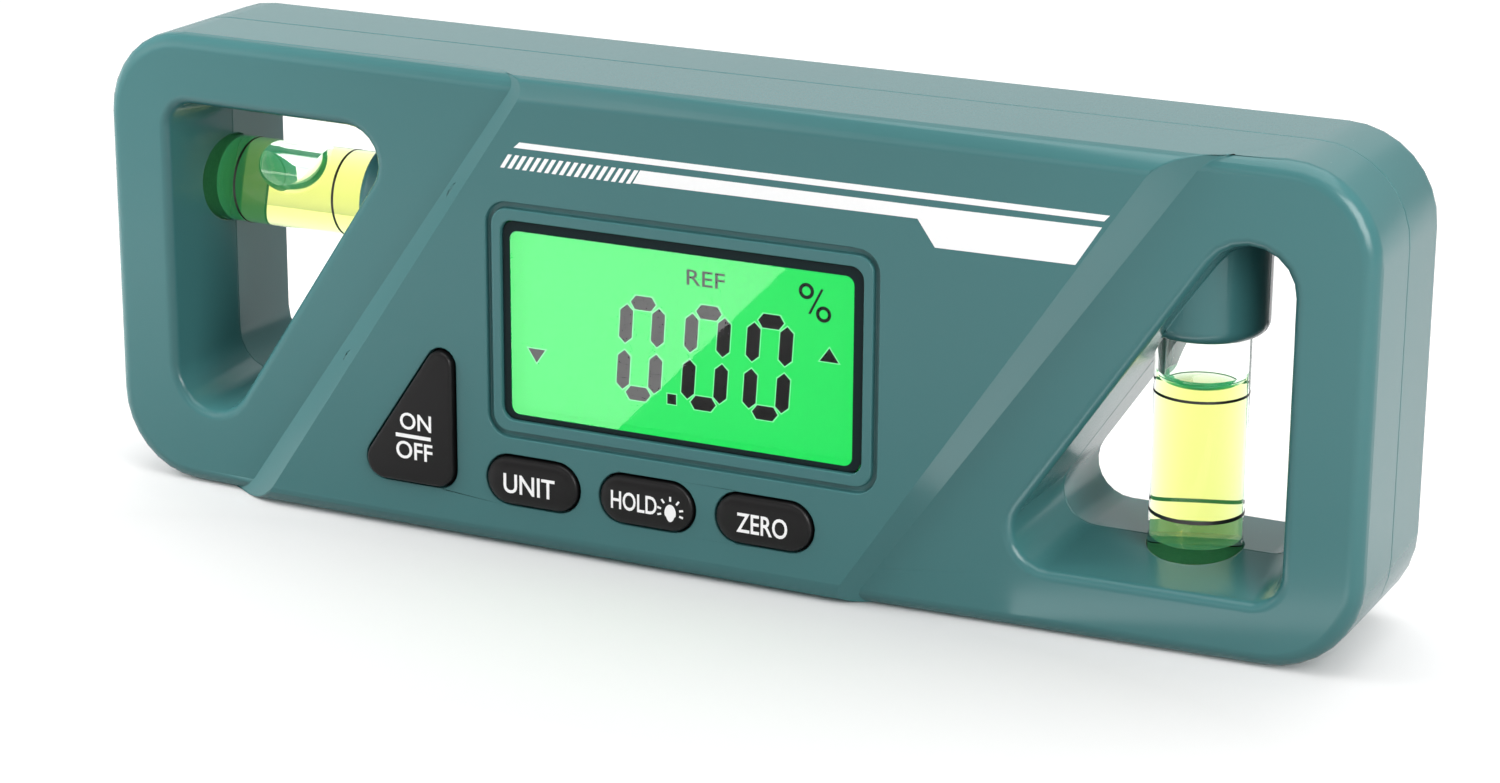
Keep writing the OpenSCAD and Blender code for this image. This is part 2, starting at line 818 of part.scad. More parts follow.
// Vials, drawn along Z from the closed end
module vial_tube() {
    color([0.9, 1, 0.85, 0.35])
    difference() {
        cylinder(r = vial_d / 2, h = vial_l);
        translate([0, 0, vial_end]) cylinder(r = chamber_d / 2, h = vial_l);
    }
}
module vial_plug() {
    color([0.85, 0.9, 0.8])
        translate([0, 0, vial_l - plug_l]) cylinder(r = chamber_d / 2 - chamber_gap, h = plug_l);
}
module vial_fluid(length) {
    translate([0, 0, vial_end]) cylinder(r = chamber_d / 2 - chamber_gap, h = length);
}
fluid_l = vial_l - vial_end - plug_l;
fluid_color = [0.85, 0.95, 0.35, 0.6];

module lay_level() {
    translate([level_x0, y_part, level_z]) rotate([0, 90, 0]) children();
}
module stand_plumb() {
    translate([plumb_x, y_part, plumb_z0]) children();
}

module level_vial() {
    lay_level() vial_tube();
}

// The bubble floats at the top of the chamber, midway between the vial's rings
module level_fluid() {
    r = bubble_d / 2;
    cap = bubble_d * 0.07;
    top = chamber_d / 2 - r + cap;
    straight = bubble_l - bubble_d;
    color(fluid_color)
    lay_level()
        difference() {
            vial_fluid(fluid_l);
            translate([-top, 0, bubble_mid - straight / 2]) cylinder(r = r, h = straight);
            for (end = [-1, 1])
                translate([-top, 0, bubble_mid + end * straight / 2]) sphere(r);
        }
}

module level_plug() {
    lay_level() vial_plug();
}

module plumb_vial() {
    stand_plumb() vial_tube();
}

module plumb_fluid() {
    color(fluid_color) stand_plumb() vial_fluid(fluid_l - plumb_air + plug_l);
}

module plumb_plug() {
    stand_plumb() vial_plug();
}

// Battery cells, head to tail, on their springs
module cell(z, turned) {
    start = turned ? tray_x - cell_gap - contact_t - spring_l : -tray_x + cell_gap + contact_t + spring_l;
    color([0.25, 0.25, 0.28])
        translate([start, cell_y, z])
            rotate([0, turned ? -90 : 90, 0])
                rotate_extrude()
                    union() {
                        square([cell_d / 2, cell_l - button_l]);
                        square([button_r, cell_l]);
                    }
}

module upper_cell() {
    cell(cell_z[0], false);
}

module lower_cell() {
    cell(cell_z[1], true);
}

contact_w = cell_d * 0.86;
module contact_plate(x0, z0, z1) {
    block([x0, cell_y - contact_w / 2, z0], [x0 + contact_t, cell_y + contact_w / 2, z1]);
}

module bridge_contact() {
    color(steel_color)
        contact_plate(-tray_x, cell_z[1] - contact_w / 2, cell_z[0] + contact_w / 2);
}

module end_contacts() {
    color(steel_color)
    for (z = cell_z)
        contact_plate(tray_x - contact_t, z - contact_w / 2, z + contact_w / 2);
}

// Conical spring: a round wire on a helix that narrows towards the cell, its ends on the plate
spring_turns = 3.5;
spring_foot_r = cell_d * 0.34;
spring_tip_r = cell_d * 0.22;
spring_rings = 44;
wire_sides = 6;
function spring_ring(i) =
    let (
        t = i / spring_rings,
        a = 360 * spring_turns * t,
        r = spring_foot_r + (spring_tip_r - spring_foot_r) * t,
        run = spring_wire / 2 + (spring_l - spring_wire) * t
    )
    [for (k = [0:wire_sides - 1])
        let (b = 360 * k / wire_sides, out = r + spring_wire / 2 * cos(b))
        [out * cos(a), out * sin(a), run + spring_wire / 2 * sin(b)]];
module spring() {
    n = wire_sides;
    polyhedron(
        points = [for (i = [0:spring_rings]) each spring_ring(i)],
        faces = concat(
            [[for (k = [0:n - 1]) k]],
            [for (i = [0:spring_rings - 1], k = [0:n - 1])
                [i * n + k, (i + 1) * n + k, (i + 1) * n + (k + 1) % n, i * n + (k + 1) % n]],
            [[for (k = [n - 1:-1:0]) spring_rings * n + k]]
        )
    );
}

module cell_springs() {
    color(steel_color) {
        translate([-tray_x + contact_t, cell_y, cell_z[0]]) rotate([0, 90, 0]) spring();
        translate([tray_x - contact_t, cell_y, cell_z[1]]) rotate([0, -90, 0]) spring();
    }
}

module base_magnets() {
    color([0.7, 0.7, 0.72])
    for (spot = magnet_spots)
        translate([spot.x, spot.y, magnet_gap]) cylinder(r = magnet_d / 2, h = magnet_t);
}

// Cross-recessed screw along Y: its head sits at y and its shank runs to the front
module screw(spot, y, shank_d, shank_l, cap_d) {
    slot_l = cap_d * 0.6;
    slot_w = 0.7;
    slot_depth = head_h * 0.6;
    difference() {
        union() {
            bar_y(spot, cap_d / 2, y, y + head_h);
            bar_y(spot, shank_d / 2, y - shank_l, y + head_h / 2);
        }
        for (size = [[slot_l, slot_w], [slot_w, slot_l]])
            block(
                [spot.x - size.x / 2, y + head_h - slot_depth, spot.y - size.y / 2],
                [spot.x + size.x / 2, y + head_h + past, spot.y + size.y / 2]
            );
    }
}

module case_screws() {
    color(steel_color)
    for (spot = screw_spots)
        screw(spot, screw_seat, screw_d - 2 * chamber_gap, screw_l, head_d);
}

module board_screws() {
    color(steel_color)
    for (spot = board_posts)
        screw(spot, y_board_back, board_screw_d - 2 * chamber_gap, board_screw_l, board_head_d);
}

front_shell();
rear_shell();
battery_door();
display_lens();
lcd_panel();
backlight();
contact_strip();
display_holder();
main_board();
control_chip();
tilt_sensor();
key_switches();
power_key();
unit_key();
hold_key();
zero_key();
level_vial();
level_fluid();
level_plug();
plumb_vial();
plumb_fluid();
plumb_plug();
upper_cell();
lower_cell();
bridge_contact();
end_contacts();
cell_springs();
base_magnets();
case_screws();
board_screws();
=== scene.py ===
"""Digital angle gauge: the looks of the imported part, put on piece by piece in the order it is assembled."""
import math

import bpy
from mathutils import Matrix, Vector


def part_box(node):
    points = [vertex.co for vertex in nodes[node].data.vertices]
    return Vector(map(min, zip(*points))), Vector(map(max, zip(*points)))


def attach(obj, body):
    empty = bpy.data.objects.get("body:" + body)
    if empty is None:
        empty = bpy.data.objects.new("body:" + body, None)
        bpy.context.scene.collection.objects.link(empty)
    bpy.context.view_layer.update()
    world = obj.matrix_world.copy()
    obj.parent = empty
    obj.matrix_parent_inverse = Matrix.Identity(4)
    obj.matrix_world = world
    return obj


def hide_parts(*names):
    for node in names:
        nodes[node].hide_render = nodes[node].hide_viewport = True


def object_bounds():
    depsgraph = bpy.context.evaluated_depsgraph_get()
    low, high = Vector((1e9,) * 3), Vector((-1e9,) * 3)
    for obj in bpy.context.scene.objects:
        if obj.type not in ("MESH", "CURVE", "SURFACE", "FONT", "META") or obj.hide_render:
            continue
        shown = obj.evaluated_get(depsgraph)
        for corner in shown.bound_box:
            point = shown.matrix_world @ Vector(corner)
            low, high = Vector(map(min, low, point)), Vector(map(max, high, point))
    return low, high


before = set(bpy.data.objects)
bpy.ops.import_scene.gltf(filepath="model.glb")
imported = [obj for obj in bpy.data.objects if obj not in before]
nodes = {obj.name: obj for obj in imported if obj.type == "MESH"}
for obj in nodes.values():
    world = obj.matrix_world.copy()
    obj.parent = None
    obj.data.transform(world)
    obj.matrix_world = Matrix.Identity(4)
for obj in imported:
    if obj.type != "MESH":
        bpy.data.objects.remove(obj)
cad_low, cad_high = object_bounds()
MM = 0.001


# Front shell: the front half of the housing, injection-moulded in teal ABS with a fine satin grain.
# It is one moulding with the raised panel, the display's opening, the key holes and half of each window;
# its edges are broken slightly, as a mould leaves them.
def start_clean():
    if bpy.context.mode != "OBJECT":
        bpy.ops.object.mode_set(mode="OBJECT")
    bpy.ops.object.select_all(action="DESELECT")


def take_up(piece):
    start_clean()
    piece.select_set(True)
    bpy.context.view_layer.objects.active = piece


FLAT_AREA = 40
FLAT_SLACK = 1.6


# Gives all faces of a large flat the same normal, so that no shading line crosses it.
def keep_flats(piece):
    mesh = piece.data
    near = math.cos(math.radians(FLAT_SLACK))
    flats = []
    for face in sorted(mesh.polygons, key=lambda face: -face.area):
        if face.area < FLAT_AREA * MM * MM:
            break
        if all(face.normal.dot(flat) < near for flat in flats):
            flats.append(face.normal.copy())
    if not flats:
        return
    normals = [corner.vector.copy() for corner in mesh.corner_normals]
    for face in mesh.polygons:
        flat = max(flats, key=face.normal.dot)
        if face.normal.dot(flat) > near:
            for corner in face.loop_indices:
                normals[corner] = flat
    mesh.normals_split_custom_set(normals)


def dissolve(piece, picked):
    take_up(piece)
    bpy.ops.object.mode_set(mode="EDIT")
    bpy.ops.mesh.select_mode(type="EDGE")
    bpy.ops.mesh.select_all(action="DESELECT")
    bpy.ops.object.mode_set(mode="OBJECT")
    for number in picked:
        piece.data.edges[number].select = True
    bpy.ops.object.mode_set(mode="EDIT")
    bpy.ops.mesh.dissolve_edges(use_verts=False)
    bpy.ops.object.mode_set(mode="OBJECT")


# Joins each face that is only a sliver to its neighbour across its longest edge.
def drop_slivers(piece, height):
    mesh = piece.data
    numbers = {key: i for i, key in enumerate(mesh.edge_keys)}
    picked = []
    for face in mesh.polygons:
        spans = []
        for a, b in face.edge_keys:
            spans.append(((mesh.vertices[a].co - mesh.vertices[b].co).length, numbers[a, b]))
        longest, edge = max(spans)
        if 2 * face.area < longest * height * MM:
            picked.append(edge)
    dissolve(piece, picked)


FOLDED = -0.95


# Joins faces that the bevel has folded back onto their neighbours.
def unfold(piece):
    numbers = {key: i for i, key in enumerate(piece.data.edge_keys)}
    sides = {}
    for face in piece.data.polygons:
        for key in face.edge_keys:
            sides.setdefault(key, []).append(face.normal.copy())
    dissolve(piece, [
        numbers[key] for key, pair in sides.items() if len(pair) == 2 and pair[0].dot(pair[1]) < FOLDED
    ])


UNFOLD_TURNS = 3
SMOOTH_UNDER = 28


def soften(piece, width, steps, angle):
    take_up(piece)
    edge = piece.modifiers.new("broken_edges", "BEVEL")
    edge.width = width * MM
    edge.segments = steps
    edge.limit_method = "ANGLE"
    edge.angle_limit = math.radians(angle)
    edge.use_clamp_overlap = False
    edge.face_strength_mode = "FSTR_ALL"
    bpy.ops.object.modifier_apply(modifier=edge.name)
    for _ in range(UNFOLD_TURNS):
        unfold(piece)
    bpy.ops.object.shade_smooth_by_angle(angle=math.radians(SMOOTH_UNDER))
    flow = piece.modifiers.new("face_flow", "WEIGHTED_NORMAL")
    flow.keep_sharp = True
    flow.use_face_influence = True
    bpy.ops.object.modifier_apply(modifier=flow.name)


BAND_SLACK = 2


# Makes one face of the triangles that lie in a flat.
def make_whole(piece, flat):
    take_up(piece)
    bpy.ops.object.mode_set(mode="EDIT")
    bpy.ops.mesh.select_mode(type="FACE")
    bpy.ops.mesh.select_all(action="DESELECT")
    bpy.ops.object.mode_set(mode="OBJECT")
    for face in piece.data.polygons:
        face.select = face.normal.dot(flat) > math.cos(math.radians(BAND_SLACK))
    bpy.ops.object.mode_set(mode="EDIT")
    bpy.ops.mesh.dissolve_limited(angle_limit=math.radians(2 * BAND_SLACK), use_dissolve_boundaries=False)
    bpy.ops.object.mode_set(mode="OBJECT")


MERGE = 0.02
EVEN_FILL = 0.4
SLIVER_HEIGHTS = (0.02, 0.03)


# A copy of a CAD node with its edges broken, kept inside the node's own box.
def moulding(node, name, width, steps=3, angle=50, whole=()):
    piece = bpy.data.objects.new(name, nodes[node].data.copy())
    bpy.context.scene.collection.objects.link(piece)
    piece.data.materials.clear()
    take_up(piece)
    bpy.ops.object.mode_set(mode="EDIT")
    bpy.ops.mesh.select_all(action="SELECT")
    bpy.ops.mesh.remove_doubles(threshold=MERGE * MM)
    bpy.ops.mesh.dissolve_degenerate(threshold=MERGE * MM)
    bpy.ops.mesh.select_all(action="SELECT")
    bpy.ops.mesh.beautify_fill(angle_limit=math.radians(EVEN_FILL))
    bpy.ops.object.mode_set(mode="OBJECT")
    for flat in whole:
        make_whole(piece, flat)
    for height in SLIVER_HEIGHTS:
        drop_slivers(piece, height)
    soften(piece, width, steps, angle)
    low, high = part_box(node)
    for vertex in piece.data.vertices:
        vertex.co = [min(max(c, a), b) for c, a, b in zip(vertex.co, low, high)]
    keep_flats(piece)
    return piece


def socket(group, way, name, kind):
    return group.interface.new_socket(name=name, in_out=way, socket_type=kind)


CLOUD_SCALE = 38
GRAIN_SHARE = 0.12


def moulded_skin():
    group = bpy.data.node_groups.new("moulded_skin", "ShaderNodeTree")
    socket(group, "INPUT", "Tone", "NodeSocketColor")
    socket(group, "INPUT", "Mottle", "NodeSocketFloat")
    socket(group, "INPUT", "Gloss", "NodeSocketFloat")
    socket(group, "INPUT", "Grain", "NodeSocketFloat")
    socket(group, "OUTPUT", "Color", "NodeSocketColor")
    socket(group, "OUTPUT", "Roughness", "NodeSocketFloat")
    socket(group, "OUTPUT", "Height", "NodeSocketFloat")
    add, join = group.nodes.new, group.links.new
    given, made = add("NodeGroupInput"), add("NodeGroupOutput")
    place = add("ShaderNodeTexCoord")
    cloud = add("ShaderNodeTexNoise")
    cloud.inputs["Scale"].default_value = CLOUD_SCALE
    cloud.inputs["Detail"].default_value = 3
    grain = add("ShaderNodeTexNoise")
    grain.inputs["Detail"].default_value = 2
    for texture in (cloud, grain):
        join(place.outputs["Object"], texture.inputs["Vector"])
    join(given.outputs["Grain"], grain.inputs["Scale"])
    spread = add("ShaderNodeMath")
    spread.operation = "SUBTRACT"
    spread.inputs[1].default_value = 0.5
    join(cloud.outputs["Fac"], spread.inputs[0])
    share = add("ShaderNodeMath")
    share.operation = "MULTIPLY_ADD"
    share.inputs[2].default_value = 1.0
    join(spread.outputs[0], share.inputs[0])
    join(given.outputs["Mottle"], share.inputs[1])
    tint = add("ShaderNodeVectorMath")
    tint.operation = "SCALE"
    join(given.outputs["Tone"], tint.inputs[0])
    join(share.outputs[0], tint.inputs["Scale"])
    join(tint.outputs[0], made.inputs["Color"])
    fine = add("ShaderNodeMath")
    fine.operation = "MULTIPLY_ADD"
    fine.inputs[1].default_value = GRAIN_SHARE
    join(grain.outputs["Fac"], fine.inputs[0])
    join(given.outputs["Gloss"], fine.inputs[2])
    join(fine.outputs[0], made.inputs["Roughness"])
    join(grain.outputs["Fac"], made.inputs["Height"])
    return group


def finish_named(name):
    material = bpy.data.materials.new(name)
    material.use_nodes = True
    return material, material.node_tree.nodes, material.node_tree.links


def plastic(name, tone, mottle, gloss, grain, relief, depth, mirror=0.5):
    material, add, links = finish_named(name)
    shader = add["Principled BSDF"]
    shader.inputs["Specular IOR Level"].default_value = mirror
    skin = add.new("ShaderNodeGroup")
    skin.node_tree = skin_group
    skin.inputs["Tone"].default_value = (*tone, 1)
    skin.inputs["Mottle"].default_value = mottle
    skin.inputs["Gloss"].default_value = gloss
    skin.inputs["Grain"].default_value = grain
    relief_node = add.new("ShaderNodeBump")
    relief_node.inputs["Strength"].default_value = relief
    relief_node.inputs["Distance"].default_value = depth * MM
    links.new(skin.outputs["Color"], shader.inputs["Base Color"])
    links.new(skin.outputs["Roughness"], shader.inputs["Roughness"])
    links.new(skin.outputs["Height"], relief_node.inputs["Height"])
    links.new(relief_node.outputs["Normal"], shader.inputs["Normal"])
    return material


skin_group = moulded_skin()
teal_abs = plastic(
    "teal_abs", tone=(0.041, 0.142, 0.146), mottle=0.10, gloss=0.18,
    grain=5200, relief=0.25, depth=0.010, mirror=0.36,
)
EDGE_BREAK = 0.16
BAND = Vector((0.525, -0.774, -0.354)).normalized()
bands = (BAND, Vector((-BAND.x, BAND.y, -BAND.z)))
front_shell = moulding("front_shell", "front_shell_moulding", EDGE_BREAK, whole=bands)
front_shell.data.materials.append(teal_abs)
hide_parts("front_shell")
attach(front_shell, "housing")


# Display lens: a clear window with a low-reflecting face, bonded to the glass behind it; its flange holds
# it behind the panel. A black border is silk-screened on its face and leaves the lit field free.
HAZE_SCALE = 120
HAZE_SPAN = (0.45, 0.8)
HAZE_SHARE = 0.02


def clear_finish(name, tone, ior, gloss, mirror=0.5):
    material, add, links = finish_named(name)
    shader = add["Principled BSDF"]
    shader.inputs["Base Color"].default_value = (*tone, 1)
    shader.inputs["Transmission Weight"].default_value = 1.0
    shader.inputs["IOR"].default_value = ior
    shader.inputs["Specular IOR Level"].default_value = mirror
    place = add.new("ShaderNodeTexCoord")
    haze = add.new("ShaderNodeTexNoise")
    haze.inputs["Scale"].default_value = HAZE_SCALE
    haze.inputs["Detail"].default_value = 4
    links.new(place.outputs["Object"], haze.inputs["Vector"])
    span = add.new("ShaderNodeMapRange")
    span.inputs["From Min"].default_value = HAZE_SPAN[0]
    span.inputs["From Max"].default_value = HAZE_SPAN[1]
    span.inputs["To Min"].default_value = gloss
    span.inputs["To Max"].default_value = gloss + HAZE_SHARE
    links.new(haze.outputs["Fac"], span.inputs["Value"])
    links.new(span.outputs["Result"], shader.inputs["Roughness"])
    return material


def rounded(corners, radii, steps=8, grow=0.0):
    points = []
    for i, corner in enumerate(corners):
        here = Vector(corner)
        back = (Vector(corners[i - 1]) - here).normalized()
        on = (Vector(corners[(i + 1) % len(corners)]) - here).normalized()
        half = math.acos(max(-1, min(1, back.dot(on)))) / 2
        centre = here + (back + on).normalized() * radii[i] / math.sin(half)
        start = math.atan2(back.x, -back.y)
        turn = (math.atan2(-on.x, on.y) - start) % (2 * math.pi)
        reach = radii[i] + grow
        for k in range(steps + 1):
            a = start + turn * k / steps
            points.append((centre.x + reach * math.cos(a), centre.y + reach * math.sin(a)))
    return points


def box_outline(x0, z0, x1, z1):
    return [(x0, z0), (x1, z0), (x1, z1), (x0, z1)]


def joined(name, parts):
    start_clean()
    for part in parts:
        part.select_set(True)
    bpy.context.view_layer.objects.active = parts[0]
    if len(parts) > 1:
        bpy.ops.object.join()
    parts[0].name = name
    return parts[0]


def cut_sheet(name, outlines, y, thick):
    sheets = []
    for outline in outlines:
        start_clean()
        bpy.ops.mesh.primitive_circle_add(vertices=len(outline), radius=MM, fill_type="NGON")
        sheet = bpy.context.object
        for vertex, (x, z) in zip(sheet.data.vertices, outline):
            vertex.co = (x * MM, y * MM, z * MM)
        sheets.append(sheet)
    piece = joined(name, sheets)
    bpy.ops.object.mode_set(mode="EDIT")
    bpy.ops.mesh.select_all(action="SELECT")
    bpy.ops.mesh.extrude_region_move(TRANSFORM_OT_translate={"value": (0, -thick * MM, 0)})
    bpy.ops.mesh.select_all(action="SELECT")
    bpy.ops.mesh.normals_make_consistent(inside=False)
    bpy.ops.object.mode_set(mode="OBJECT")
    return piece


def frame_sheet(name, outer, inner, y, thick):
    piece = cut_sheet(name, [outer], y, thick)
    piece.modifiers.new("opening", "BOOLEAN").operation = "DIFFERENCE"
    knife = cut_sheet(name + "_opening", [inner], y + 1, thick + 2)
    piece.modifiers["opening"].object = knife
    take_up(piece)
    bpy.ops.object.modifier_apply(modifier="opening")
    bpy.data.objects.remove(knife)
    return piece


FILM_SCALE = 3000
FILM_SHARE = 0.06


def ink(name, tone, patchy, gloss, mirror=0.5):
    material, add, links = finish_named(name)
    shader = add["Principled BSDF"]
    shader.inputs["Specular IOR Level"].default_value = mirror
    place = add.new("ShaderNodeTexCoord")
    film = add.new("ShaderNodeTexNoise")
    film.inputs["Scale"].default_value = FILM_SCALE
    film.inputs["Detail"].default_value = 3
    links.new(place.outputs["Object"], film.inputs["Vector"])
    blend = add.new("ShaderNodeMix")
    blend.data_type = "RGBA"
    blend.inputs["A"].default_value = (*[c * (1 - patchy) for c in tone], 1)
    blend.inputs["B"].default_value = (*tone, 1)
    links.new(film.outputs["Fac"], blend.inputs["Factor"])
    links.new(blend.outputs["Result"], shader.inputs["Base Color"])
    span = add.new("ShaderNodeMapRange")
    span.inputs["To Min"].default_value = gloss - FILM_SHARE
    span.inputs["To Max"].default_value = gloss + FILM_SHARE
    links.new(film.outputs["Fac"], span.inputs["Value"])
    links.new(span.outputs["Result"], shader.inputs["Roughness"])
    return material


LENS_EDGE = 0.12
FACING = 0.98
lens_acrylic = clear_finish("lens_acrylic", tone=(1, 1, 1), ior=1.27, gloss=0.03)
clear_bond, bond_nodes, _ = finish_named("clear_bond")
bond_nodes["Principled BSDF"].inputs["Alpha"].default_value = 0.0
border_ink = ink("border_ink", tone=(0.004, 0.014, 0.016), patchy=0.3, gloss=0.35, mirror=0.12)
lens = moulding("display_lens", "display_window", LENS_EDGE)
lens.data.materials.append(lens_acrylic)
lens.data.materials.append(border_ink)
lens.data.materials.append(clear_bond)
for face in lens.data.polygons:
    if abs(face.normal.y) < FACING:
        face.material_index = 1
    elif face.normal.y > 0:
        face.material_index = 2
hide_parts("display_lens")
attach(lens, "housing")

LENS_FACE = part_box("display_lens")[0].y / MM
BORDER_FILM = 0.03
BORDER_EDGE = rounded(box_outline(-21.4, 15.05, 21.4, 37.35), [1.4] * 4)
LIT_FIELD = rounded(box_outline(-20.6, 15.6, 20.35, 36.3), [1.0] * 4)
border = frame_sheet("display_border", BORDER_EDGE, LIT_FIELD, LENS_FACE, BORDER_FILM)
border.data.materials.append(border_ink)
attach(border, "housing")


# Liquid crystal panel: two glass plates with a polariser on the front, lit evenly green from behind.
# Its segments are dark shapes in the glass: three figures with a point, a percent sign, REF and two arrows.
GLASS_TONE = (0.01, 0.05, 0.02)
GLOW_SCALE = 55


def lit_finish(name, tone, dim):
    material, add, links = finish_named(name)
    shader = add["Principled BSDF"]
    shader.inputs["Base Color"].default_value = (*GLASS_TONE, 1)
    shader.inputs["Roughness"].default_value = 0.5
    shader.inputs["Specular IOR Level"].default_value = 0.0
    shader.inputs["Emission Strength"].default_value = 1.0
    place = add.new("ShaderNodeTexCoord")
    glow = add.new("ShaderNodeTexNoise")
    glow.inputs["Scale"].default_value = GLOW_SCALE
    glow.inputs["Detail"].default_value = 1
    links.new(place.outputs["Object"], glow.inputs["Vector"])
    blend = add.new("ShaderNodeMix")
    blend.data_type = "RGBA"
    blend.inputs["A"].default_value = (*[c * dim for c in tone], 1)
    blend.inputs["B"].default_value = (*tone, 1)
    links.new(glow.outputs["Fac"], blend.inputs["Factor"])
    links.new(blend.outputs["Result"], shader.inputs["Emission Color"])
    return material


GLASS_INSET = 0.08
GLASS_PLATE = 0.5
GLASS_EDGE = 0.05
CONTACT_LEDGE = 2.2
lcd_low, lcd_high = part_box("lcd_panel")
LCD_FACE = lcd_low.y / MM + GLASS_INSET
LCD_BACK = lcd_high.y / MM
lcd_left, lcd_foot, lcd_right, lcd_top = (c / MM for c in (lcd_low.x, lcd_low.z, lcd_high.x, lcd_high.z))
back_outline = box_outline(lcd_left, lcd_foot, lcd_right, lcd_top)
front_outline = box_outline(lcd_left, lcd_foot + CONTACT_LEDGE, lcd_right, lcd_top)
back_glass = cut_sheet("lcd_glass", [back_outline], LCD_BACK, LCD_BACK - LCD_FACE - GLASS_PLATE)
front_glass = cut_sheet("lcd_front_glass", [front_outline], LCD_FACE + GLASS_PLATE, GLASS_PLATE)
for plate in (back_glass, front_glass):
    soften(plate, GLASS_EDGE, 2, 30)
lcd = joined("lcd_glass", [back_glass, front_glass])
lcd_glow = lit_finish("lcd_glow", tone=(0.004, 0.76, 0.10), dim=0.95)
lcd.data.materials.append(lcd_glow)
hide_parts("lcd_panel")
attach(lcd, "housing")

DIGIT_LEAN = 0.066
DIGIT_MID = 24.53
STROKE = 0.77
UPRIGHT_SHOULDER = STROKE * 0.88
LEVEL_SHOULDER = STROKE * 0.72
SHOULDER_GROW = 0.4
TIP_GROW = 1.4
ARROW_GROW = 2
FIGURES = (-7.52, 0.35, 7.70)
FIGURE_AXES = 3.86
SEGMENT_ENDS = ((19.7, 24.15), (24.95, 29.31))
CAP_LEVELS = (19.43, 29.65)
CAP_INSET = 0.42
POINT = (-2.36, 18.83, -1.3, 19.95)
UP_ARROW = ((15.66, 26.13), (17.85, 26.13), (16.76, 27.63))
DOWN_ARROW = ((-19.46, 22.75), (-18.44, 21.2), (-17.34, 22.75))


def upright_segment(x, z0, z1, grow):
    s = STROKE + grow
    low, high = z0 - grow * TIP_GROW, z1 + grow * TIP_GROW
    shoulder = UPRIGHT_SHOULDER + grow * SHOULDER_GROW
    return [
        (x, low), (x + s, low + shoulder), (x + s, high - shoulder),
        (x, high), (x - s, high - shoulder), (x - s, low + shoulder),
    ]


def level_segment(x0, x1, z, grow):
    s = STROKE + grow
    left, right = x0 - grow * TIP_GROW, x1 + grow * TIP_GROW
    shoulder = LEVEL_SHOULDER + grow * SHOULDER_GROW
    return [
        (left, z), (left + shoulder, z - s), (right - shoulder, z - s),
        (right, z), (right - shoulder, z + s), (left + shoulder, z + s),
    ]


def leaning(points):
    return [(x + (z - DIGIT_MID) * DIGIT_LEAN, z) for x, z in points]


def figure_outlines(grow):
    outlines = []
    for x in FIGURES:
        for axis in (x, x + FIGURE_AXES):
            for z0, z1 in SEGMENT_ENDS:
                outlines.append(leaning(upright_segment(axis, z0, z1, grow)))
        for z in CAP_LEVELS:
            outlines.append(leaning(level_segment(x + CAP_INSET, x + FIGURE_AXES - CAP_INSET, z, grow)))
    x0, z0, x1, z1 = POINT
    outlines.append(box_outline(x0 - grow, z0 - grow, x1 + grow, z1 + grow))
    out = grow * ARROW_GROW
    (x0, z0), (x1, z1), (x2, z2) = UP_ARROW
    outlines.append([(x0 - out, z0 - grow), (x1 + out, z1 - grow), (x2, z2 + out)])
    (x0, z0), (x1, z1), (x2, z2) = DOWN_ARROW
    outlines.append([(x0 - out, z0 + grow), (x1, z1 - out), (x2 + out, z2 + grow)])
    return outlines


def ring_outline(x, z, r, count=24):
    turns = [2 * math.pi * k / count for k in range(count)]
    return [(x + r * math.cos(a), z + r * math.sin(a)) for a in turns]


LETTER_HALF = 0.5
FINE_MERGE = 0.002


def lettering(name, word, box, y, thick, weight):
    start_clean()
    bpy.ops.object.text_add()
    text = bpy.context.object
    text.data.body = word
    text.data.offset = weight
    text.data.resolution_u = 4
    text.data.extrude = LETTER_HALF
    bpy.ops.object.convert(target="MESH")
    piece = bpy.context.object
    piece.name = name
    xs = [v.co.x for v in piece.data.vertices]
    zs = [v.co.y for v in piece.data.vertices]
    left, width = min(xs), max(xs) - min(xs)
    foot, height = min(zs), max(zs) - min(zs)
    x0, z0, x1, z1 = box
    for v in piece.data.vertices:
        x = x0 + (x1 - x0) * (v.co.x - left) / width
        z = z0 + (z1 - z0) * (v.co.y - foot) / height
        v.co = [c * MM for c in (x, y - thick * (v.co.z + LETTER_HALF), z)]
    bpy.ops.object.mode_set(mode="EDIT")
    bpy.ops.mesh.select_all(action="SELECT")
    bpy.ops.mesh.remove_doubles(threshold=FINE_MERGE * MM)
    bpy.ops.mesh.normals_make_consistent(inside=False)
    bpy.ops.object.mode_set(mode="OBJECT")
    return piece


SLASH = [(14.28, 31.13), (14.54, 31.07), (16.0, 33.91), (15.74, 33.97)]
PERCENT_RINGS = {"upper_ring": (14.03, 33.53), "lower_ring": (16.05, 31.23)}
RING_OUT, RING_IN = 0.88, 0.5
REF_BOX = (-0.04, 32.43, 4.48, 34.13)
REF_WEIGHT = 0.004
SEGMENT_FILM = 0.02
segment_back = LCD_FACE - SEGMENT_FILM
signs = [
    cut_sheet("figures", figure_outlines(0.0), segment_back, SEGMENT_FILM),
    cut_sheet("slash", [SLASH], segment_back, SEGMENT_FILM),
]
for name, (x, z) in PERCENT_RINGS.items():
    rim, hole = ring_outline(x, z, RING_OUT), ring_outline(x, z, RING_IN)
    signs.append(frame_sheet(name, rim, hole, segment_back, SEGMENT_FILM))
signs.append(lettering("reference_word", "REF", REF_BOX, segment_back, SEGMENT_FILM, REF_WEIGHT))
segments = joined("lcd_segments", signs)
segment_dark = ink("segment_dark", tone=(0.006, 0.005, 0.0055), patchy=0.2, gloss=0.5, mirror=0.0)
segments.data.materials.append(segment_dark)
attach(segments, "housing")

